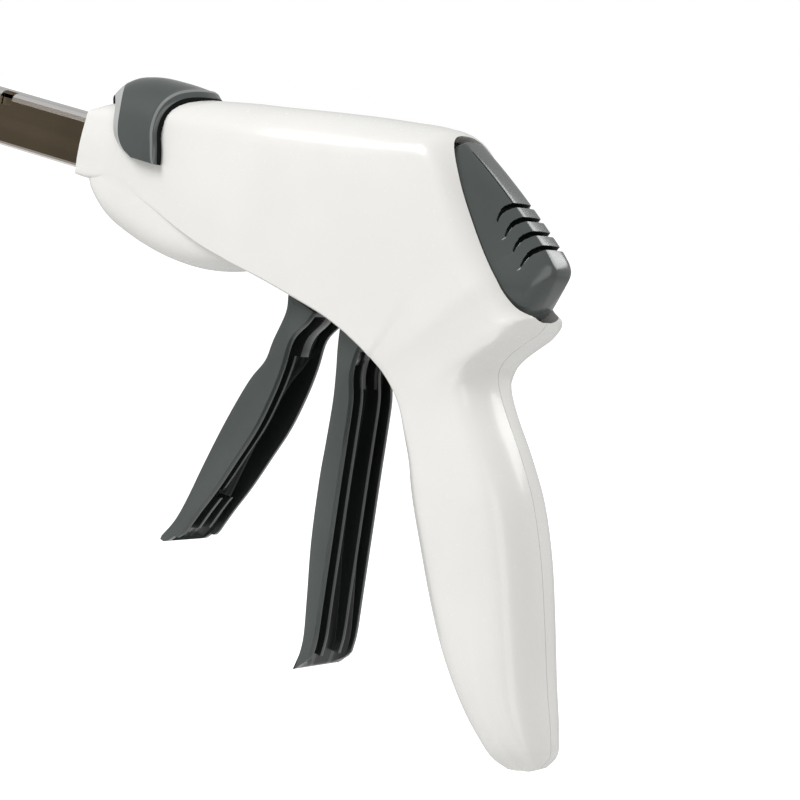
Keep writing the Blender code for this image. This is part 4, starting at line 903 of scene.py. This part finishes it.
def lever_slot(start, end, low, high):
    """The slot in the head that the steel lever fills."""
    run = (Vector(end) - Vector(start)).normalized()
    turn = math.atan2(run.y, run.x)
    points = []
    for centre, first in ((end, turn - 0.5 * math.pi), (start, turn + 0.5 * math.pi)):
        for k in range(9):
            a = first + math.pi * k / 8
            points.append((centre[0] + LEVER_R * math.cos(a), centre[1] + LEVER_R * math.sin(a)))
    return side_plate("lever slot", points, low, high, GREY)


def shade_hollow(piece, front_line, half, low, high, ribs):
    """Paint near-black shade on the walls and floor of the hollow and a lighter painted shade on the rib
    tops.
    """
    piece.data.materials.append(HOLLOW_SHADE)
    piece.data.materials.append(RIB_SHADE)
    table = sorted((z, x) for x, z in front_line)
    for face in piece.data.polygons:
        place = face.center / MM
        inside = low < place.z < high and abs(place.y) < half - TRIGGER_WALL + 0.1
        if not inside or place.x < read_table(table, place.z) + TRIGGER_WEB - 0.2:
            continue
        on_rib = any(abs(place.y - y) < 0.75 for y in ribs)
        face.material_index = 2 if on_rib and face.normal.x > 0.5 else 1


print("finishes inside the triggers", HOLLOW_SHADE.name, "and", RIB_SHADE.name)

# %% [markdown]
# The closure trigger hangs next to the grip. Two ribs run nearly its full length, and they thicken at
# the top where they carry the two steel levers. The edges are rounded last, once all joints between
# ribs and wall are there.

# %% Closure trigger
CLOSE_HALF = 10.5
CLOSE_LEVER = ((-52.3, 47.0), (-50.6, 35.5))
close, tool, front_line, rear_line = trough("closure_trigger_grip", CLOSE_FRONT, CLOSE_FOOT, CLOSE_REAR,
                                            CLOSE_HALF, 37.5, 1.6)
close = carved(close, tool, lever_slot(*CLOSE_LEVER, 2.2, 4.4), lever_slot(*CLOSE_LEVER, -4.4, -2.2))
for side in (-1, 1):
    close = carved(close, rib(front_line, rear_line, 4.2 * side, 0.6, -44.0, 36.0), way="UNION")
    close = carved(close, rib(front_line, rear_line, 3.5 * side, 0.8, 28.0, 40.0, 2.9), way="UNION")
close = eased(close, 0.3, 2, 45.0)
shade_hollow(close, front_line, CLOSE_HALF, -47.0, 37.2, (4.2, -4.2))
stand_for(close, "closure_trigger_body", "closure_trigger")

# %% [markdown]
# The firing trigger hangs in front and is a little shorter and slimmer. One lever sits in the middle
# of its head behind a thick rib, a lower rib runs down the hollow, and two short ones stand side by
# side above the foot.

# %% Firing trigger
FIRE_HALF = 9.0
FIRE_LEVER = ((-66.6, 46.8), (-71.4, 36.0))
FIRE_RIBS = ((0.0, 0.1, 30.0, 45.0, 3.6), (0.6, 3.2, -12.0, 36.0, 1.2), (3.2, 0.9, -25.0, -12.0, 1.2),
             (-1.6, 0.9, -25.0, -12.0, 1.2))
fire, tool, front_line, rear_line = trough("firing_trigger_grip", FIRE_FRONT, FIRE_FOOT, FIRE_REAR,
                                           FIRE_HALF, 43.0, 0.8)
fire = carved(fire, tool, lever_slot(*FIRE_LEVER, -1.5, 1.5))
for y, set_back, low, high, thick in FIRE_RIBS:
    fire = carved(fire, rib(front_line, rear_line, y, set_back, low, high, thick), way="UNION")
fire = eased(fire, 0.3, 2, 45.0)
shade_hollow(fire, front_line, FIRE_HALF, -27.5, 43.0, (0.6, 3.2, -1.6))
stand_for(fire, "firing_trigger_body", "firing_trigger")

# %% [markdown]
# The shaft is bent from polished sheet. Its flat sides mirror a dark room as a warm brown, the bends
# catch the lamps, and the top looks a neutral grey. A dark room could be built round the scene, but
# it would darken everything else. So these are painted into the colour by the way each face points: a
# painted brown reflection on the sides, a painted highlight on the bends and a painted grey reflection
# on top.

# %% Shaft


def painted_reflection_sheet(name, side_reflection_colour, bend_highlight_colour, top_reflection_colour):
    made, tree, shader, place = start_finish(name)
    normal = source(tree, "ShaderNodeNewGeometry", "Normal")
    across = normal.node("ShaderNodeSeparateXYZ", inputs={"Vector": normal}, output=1)
    upwards = normal.node("ShaderNodeSeparateXYZ", inputs={"Vector": normal}, output=2)
    # Painted highlight on the bends and a painted grey reflection on the top, by the way each face points.
    bend_highlight = 1 - (across * across).clamp(0.86, 0.97)
    top = upwards.clamp(0.9, 0.985)
    stretched = place.node("ShaderNodeMapping", inputs={"Vector": place, "Scale": (0.04, 1.0, 1.0)})
    streak = noise(stretched, 320.0, 3.0).clamp(0.3, 0.7)
    # The sides carry a painted brown reflection, with a random mottle in it.
    darker = [0.82 * value for value in side_reflection_colour]
    side_reflection = noise(place, 34.0).clamp(0.3, 0.7).blend((*side_reflection_colour, 1), (*darker, 1))
    feed(tree, shader, "Base Color", top.blend(bend_highlight.blend(side_reflection, (*bend_highlight_colour, 1)), (*top_reflection_colour, 1)))
    feed(tree, shader, "Roughness", streak * 0.08 + 0.16)
    feed(tree, shader, "Normal", grain(streak, 0.1, 0.00003))
    shader.inputs["Metallic"].default_value = 1.0
    return made


# Painted reflections and highlights of the polished shaft: brown sides, bright bends, grey top.
SHAFT_REFLECTIONS = painted_reflection_sheet("shaft sheet with painted reflections", (0.19, 0.148, 0.1), (0.95, 0.93, 0.9), (0.78, 0.77, 0.76))
for node in ("closure_channel", "left_frame_plate", "right_frame_plate"):
    dress(NODES[node].data, SHAFT_REFLECTIONS, CAD_SHARP)
print("shaft finish", SHAFT_REFLECTIONS.name)

# %% [markdown]
# The jaw is outside the photograph, so its detail follows the usual build of such heads: a coloured
# cartridge closes on a steel anvil, and both follow an arc across the shaft. A bend modifier could
# curve straight blocks. Blocks that are drawn on the arc from the start keep exact radii, so knife,
# lanes and pockets line up.

# %% The arc of the jaw
ARC_MIDDLE = (-33.5, 76.0)
ARC_R = 36.0
LINE_LENGTH = 40.0
LINE_DEG = math.degrees(LINE_LENGTH / ARC_R / 2)
LANES = ((-4.6, -1.9), (1.9, 4.6))
PIN_DEG = 39.0
PIN_R = 1.5
CARTRIDGE_FACE = -303.6
ANVIL_FACE = -313.2


def on_arc(deg, r, x):
    a = math.radians(deg)
    return (x, ARC_MIDDLE[0] + r * math.cos(a), ARC_MIDDLE[1] + r * math.sin(a))


def arc_block(name, low_r, high_r, low_deg, high_deg, x_low, x_high, finish, steps=40):
    """A stretch of the jaw's arc, thick along the shaft."""
    rings = []
    for x in (x_low, x_high):
        outer = [on_arc(low_deg + (high_deg - low_deg) * i / steps, high_r, x) for i in range(steps + 1)]
        inner = [on_arc(high_deg - (high_deg - low_deg) * i / steps, low_r, x) for i in range(steps + 1)]
        rings.append(outer + inner)
    return skin(name, rings, finish)


def arc_bore(deg, radius, x_low, x_high):
    """A round hole along the shaft, with its middle on the arc."""
    x, y, z = on_arc(deg, ARC_R, 0.0)
    rings = []
    for x in (x_low, x_high):
        rings.append([(x, y + radius * math.cos(math.tau * k / 24), z + radius * math.sin(math.tau * k / 24))
                      for k in range(24)])
    return skin("bore", rings, BLUE)


def many(name, blocks, finish):
    """Several blocks as one tool, so that a single cut makes the whole pattern."""
    bm = bmesh.new()
    for block in blocks:
        bm.from_mesh(block.data)
        bpy.data.objects.remove(block, do_unlink=True)
    mesh = bpy.data.meshes.new(name)
    bm.to_mesh(mesh)
    bm.free()
    return add_object(name, mesh, finish)


print("staple line", LINE_LENGTH, "mm long over", round(2 * LINE_DEG, 1), "degrees")

# %% [markdown]
# The cartridge is a blue moulding with grip lines on its outside, a curved slit for the knife and a
# staple lane on each side of it. The edges are rounded before the slits are cut, because the edges
# of a slit are sharp on the real part.

# %% Cartridge
CARTRIDGE_REAR = -272.0
THROUGH_REAR = -270.0
LANE_END = -298.0
BEFORE_FACE = CARTRIDGE_FACE - 2
cartridge = arc_block("cartridge_shell", ARC_R - 8, ARC_R + 8, -LINE_DEG - 7, 44, CARTRIDGE_FACE,
                      CARTRIDGE_REAR, BLUE)
grip_lines = [arc_block("grip line", ARC_R + 7.6, ARC_R + 9, -24 + 6 * k, -21.6 + 6 * k, -292.0, -277.0,
                        BLUE, 4) for k in range(9)]
cartridge = carved(cartridge, many("grip lines", grip_lines, BLUE))
cartridge = eased(cartridge, 0.45, 3, 40.0)
pocket = arc_block("pocket", ARC_R - 6, ARC_R + 6, -LINE_DEG - 3, LINE_DEG + 2, CARTRIDGE_FACE + 2,
                   THROUGH_REAR, BLUE)
slit = arc_block("slit", ARC_R - 0.6, ARC_R + 0.6, -LINE_DEG - 0.6, LINE_DEG + 0.6, BEFORE_FACE, LANE_END,
                 BLUE)
lanes = [arc_block("lane", ARC_R + low - 0.2, ARC_R + high + 0.2, -LINE_DEG - 0.4, LINE_DEG + 0.4,
                   BEFORE_FACE, LANE_END, BLUE) for low, high in LANES]
bore = arc_bore(PIN_DEG, PIN_R + 0.25, BEFORE_FACE, THROUGH_REAR)
cartridge = carved(cartridge, pocket, slit, *lanes, bore)
stand_for(cartridge, "closure_slide_body", "cartridge_housing")

# %% [markdown]
# The anvil faces the cartridge. Each staple leg lands in a small cup that bends it over, so the face
# carries rows of paired cups over both lanes, with a groove between them for the washer. Cups could
# be a bump in the finish; cut ones catch the light properly when the jaw is seen close.

# %% Anvil
AFTER_FACE = ANVIL_FACE + 1
CUPS = 13
plate = arc_block("anvil_plate", ARC_R - 7.4, ARC_R + 7.4, -LINE_DEG - 7, 43, ANVIL_FACE - 4.8, ANVIL_FACE,
                  STEEL)
plate = eased(plate, 0.5, 3, 40.0)
cups = []
for low, high in LANES:
    for row, r in enumerate((ARC_R + low - 0.1, ARC_R + high + 0.1)):
        for k in range(CUPS):
            middle = -LINE_DEG + 1.6 + (2 * LINE_DEG - 3.2) * (k + 0.25 + 0.5 * row) / (CUPS + 0.5)
            for half in (-1.05, 0.15):
                cups.append(arc_block("cup", r - 0.38, r + 0.38, middle + half, middle + half + 0.9,
                                      ANVIL_FACE - 0.5, AFTER_FACE, STEEL, 3))
print("forming cups", len(cups))
groove = arc_block("groove", ARC_R - 1.5, ARC_R + 1.5, -LINE_DEG - 2, LINE_DEG + 2, ANVIL_FACE - 3.4,
                   AFTER_FACE, STEEL)
plate = carved(plate, many("cups", cups, STEEL), groove,
               arc_bore(PIN_DEG, PIN_R + 0.3, ANVIL_FACE - 3.6, AFTER_FACE))
stand_for(plate, "housing", "anvil")

# %% [markdown]
# The frame that holds the anvil is forged and polished, and the collar and the pin carrier are
# machined plates, so their edges are broken. They could be drawn again like the cartridge, but only
# the edges differ from the CAD. So a copy of each solid is cleaned of its flat triangles and rounded.

# %% Softer edges on the steel of the head
for node, body, name in (("jaw_frame", "housing", "jaw_frame_forging"),
                         ("closure_collar", "closure_slide_body", "collar_plate"),
                         ("pin_carrier", "pin_slide_body", "carrier_plate")):
    original = NODES[node]
    bm = bmesh.new()
    bm.from_mesh(original.data)
    bm.transform(original.matrix_world)
    bmesh.ops.remove_doubles(bm, verts=bm.verts, dist=0.000001)
    bmesh.ops.dissolve_limit(bm, angle_limit=math.radians(1.0), verts=bm.verts, edges=bm.edges)
    mesh = bpy.data.meshes.new(name)
    bm.to_mesh(mesh)
    bm.free()
    copy = eased(add_object(name, mesh, STEEL if node == "jaw_frame" else DULL), 0.3, 2, 35.0)
    stand_for(copy, body, node)

# %% [markdown]
# The camera stands behind and to the left of the handle, a little above it, and is rolled so that
# the shaft runs up to the left as in the photograph. It could be aimed by eye. Angles, a scale in
# pixels per millimetre and the pixel of the palm point say the same in numbers that can be checked.

# %% Camera
AZIMUTH = math.radians(32.0)
ELEVATION = math.radians(8.57)
ROLL = math.radians(13.4)
PIXELS_PER_MM = 3.9
DISTANCE = 650.0
GRIP_PIXEL = (492.0, 545.0)
PICTURE = 800
SENSOR = 36.0
towards = Vector((math.sin(AZIMUTH) * math.cos(ELEVATION), -math.cos(AZIMUTH) * math.cos(ELEVATION),
                  math.sin(ELEVATION)))
level = Vector((math.cos(AZIMUTH), math.sin(AZIMUTH), 0.0))
up = towards.cross(level)
right = level * math.cos(ROLL) + up * math.sin(ROLL)
top = up * math.cos(ROLL) - level * math.sin(ROLL)
target = -(right * (GRIP_PIXEL[0] - PICTURE / 2) - top * (GRIP_PIXEL[1] - PICTURE / 2)) / PIXELS_PER_MM
lens = bpy.data.cameras.new("camera")
lens.sensor_width = SENSOR
lens.lens = PIXELS_PER_MM * DISTANCE / PICTURE * SENSOR
lens.clip_start = 0.05
lens.clip_end = 20.0
camera = bpy.data.objects.new("camera", lens)
bpy.context.scene.collection.objects.link(camera)
turn = Matrix((right, top, towards)).transposed().to_4x4()
camera.matrix_world = Matrix.Translation((target + towards * DISTANCE) * MM) @ turn
bpy.context.scene.camera = camera
print("camera", [round(v, 3) for v in camera.location], "lens", round(lens.lens, 1))

# %% [markdown]
# This is a product photograph on white. More lamps could whiten the background, but they would also
# wash out the white housing. So floor and sky light the object at a plain level, and only a camera
# ray sees them as full white.

# %% Floor and sky
FLOOR_Z = -0.25
FLOOR_HALF = 4
FLOOR_GLOW = 0.8
SKY_LIGHT = 0.49
mesh = bpy.data.meshes.new("floor")
corners = [(x * FLOOR_HALF, y * FLOOR_HALF, FLOOR_Z) for x, y in ((-1, -1), (1, -1), (1, 1), (-1, 1))]
mesh.from_pydata(corners, [], [(0, 1, 2, 3)])
made, tree, shader = start_finish("floor white")[:3]
shader.inputs["Base Color"].default_value = (0.7, 0.7, 0.7, 1)
shader.inputs["Roughness"].default_value = 0.9
shader.inputs["Emission Strength"].default_value = 1.0
feed(tree, shader, "Emission Color", source(tree, "ShaderNodeLightPath", "Is Camera Ray") * FLOOR_GLOW)
mesh.materials.append(made)
floor = bpy.data.objects.new("floor", mesh)
bpy.context.scene.collection.objects.link(floor)

world = bpy.data.worlds.new("sky")
world.use_nodes = True
bpy.context.scene.world = world
sky = world.node_tree
background = sky.nodes["Background"]
background.inputs["Color"].default_value = (1, 1, 1, 1)
seen = source(sky, "ShaderNodeLightPath", "Is Camera Ray")
feed(sky, background, "Strength", seen * (1 - SKY_LIGHT) + SKY_LIGHT)
print("sky strength", SKY_LIGHT, "on the object and 1 in the picture")

# %% [markdown]
# Large soft lamps leave long soft highlights on glossy plastic, as the soft boxes of a studio do.
# Small lamps would give hard dots. The key stands in front and above, the fill lifts the shaded side
# and the back lamp draws the upper edge.

# %% Lamps
AIM = (-0.05, 0, 0.03)


def lamp(name, place, size, power):
    light = bpy.data.lights.new(name, "AREA")
    light.shape = "RECTANGLE"
    light.size = size[0]
    light.size_y = size[1]
    light.energy = power
    holder = bpy.data.objects.new(name, light)
    holder.location = place
    holder.rotation_euler = (Vector(AIM) - Vector(place)).to_track_quat("-Z", "Y").to_euler()
    bpy.context.scene.collection.objects.link(holder)
    print("lamp", name, power, "W")


lamp("key", (-0.7, -0.9, 0.9), (0.7, 0.7), 10.4)
lamp("fill", (0.9, -0.7, 0.3), (0.5, 0.9), 2.0)
lamp("back", (0.3, 0.9, 0.8), (0.8, 0.5), 4.5)
bpy.context.scene.view_settings.view_transform = "Standard"
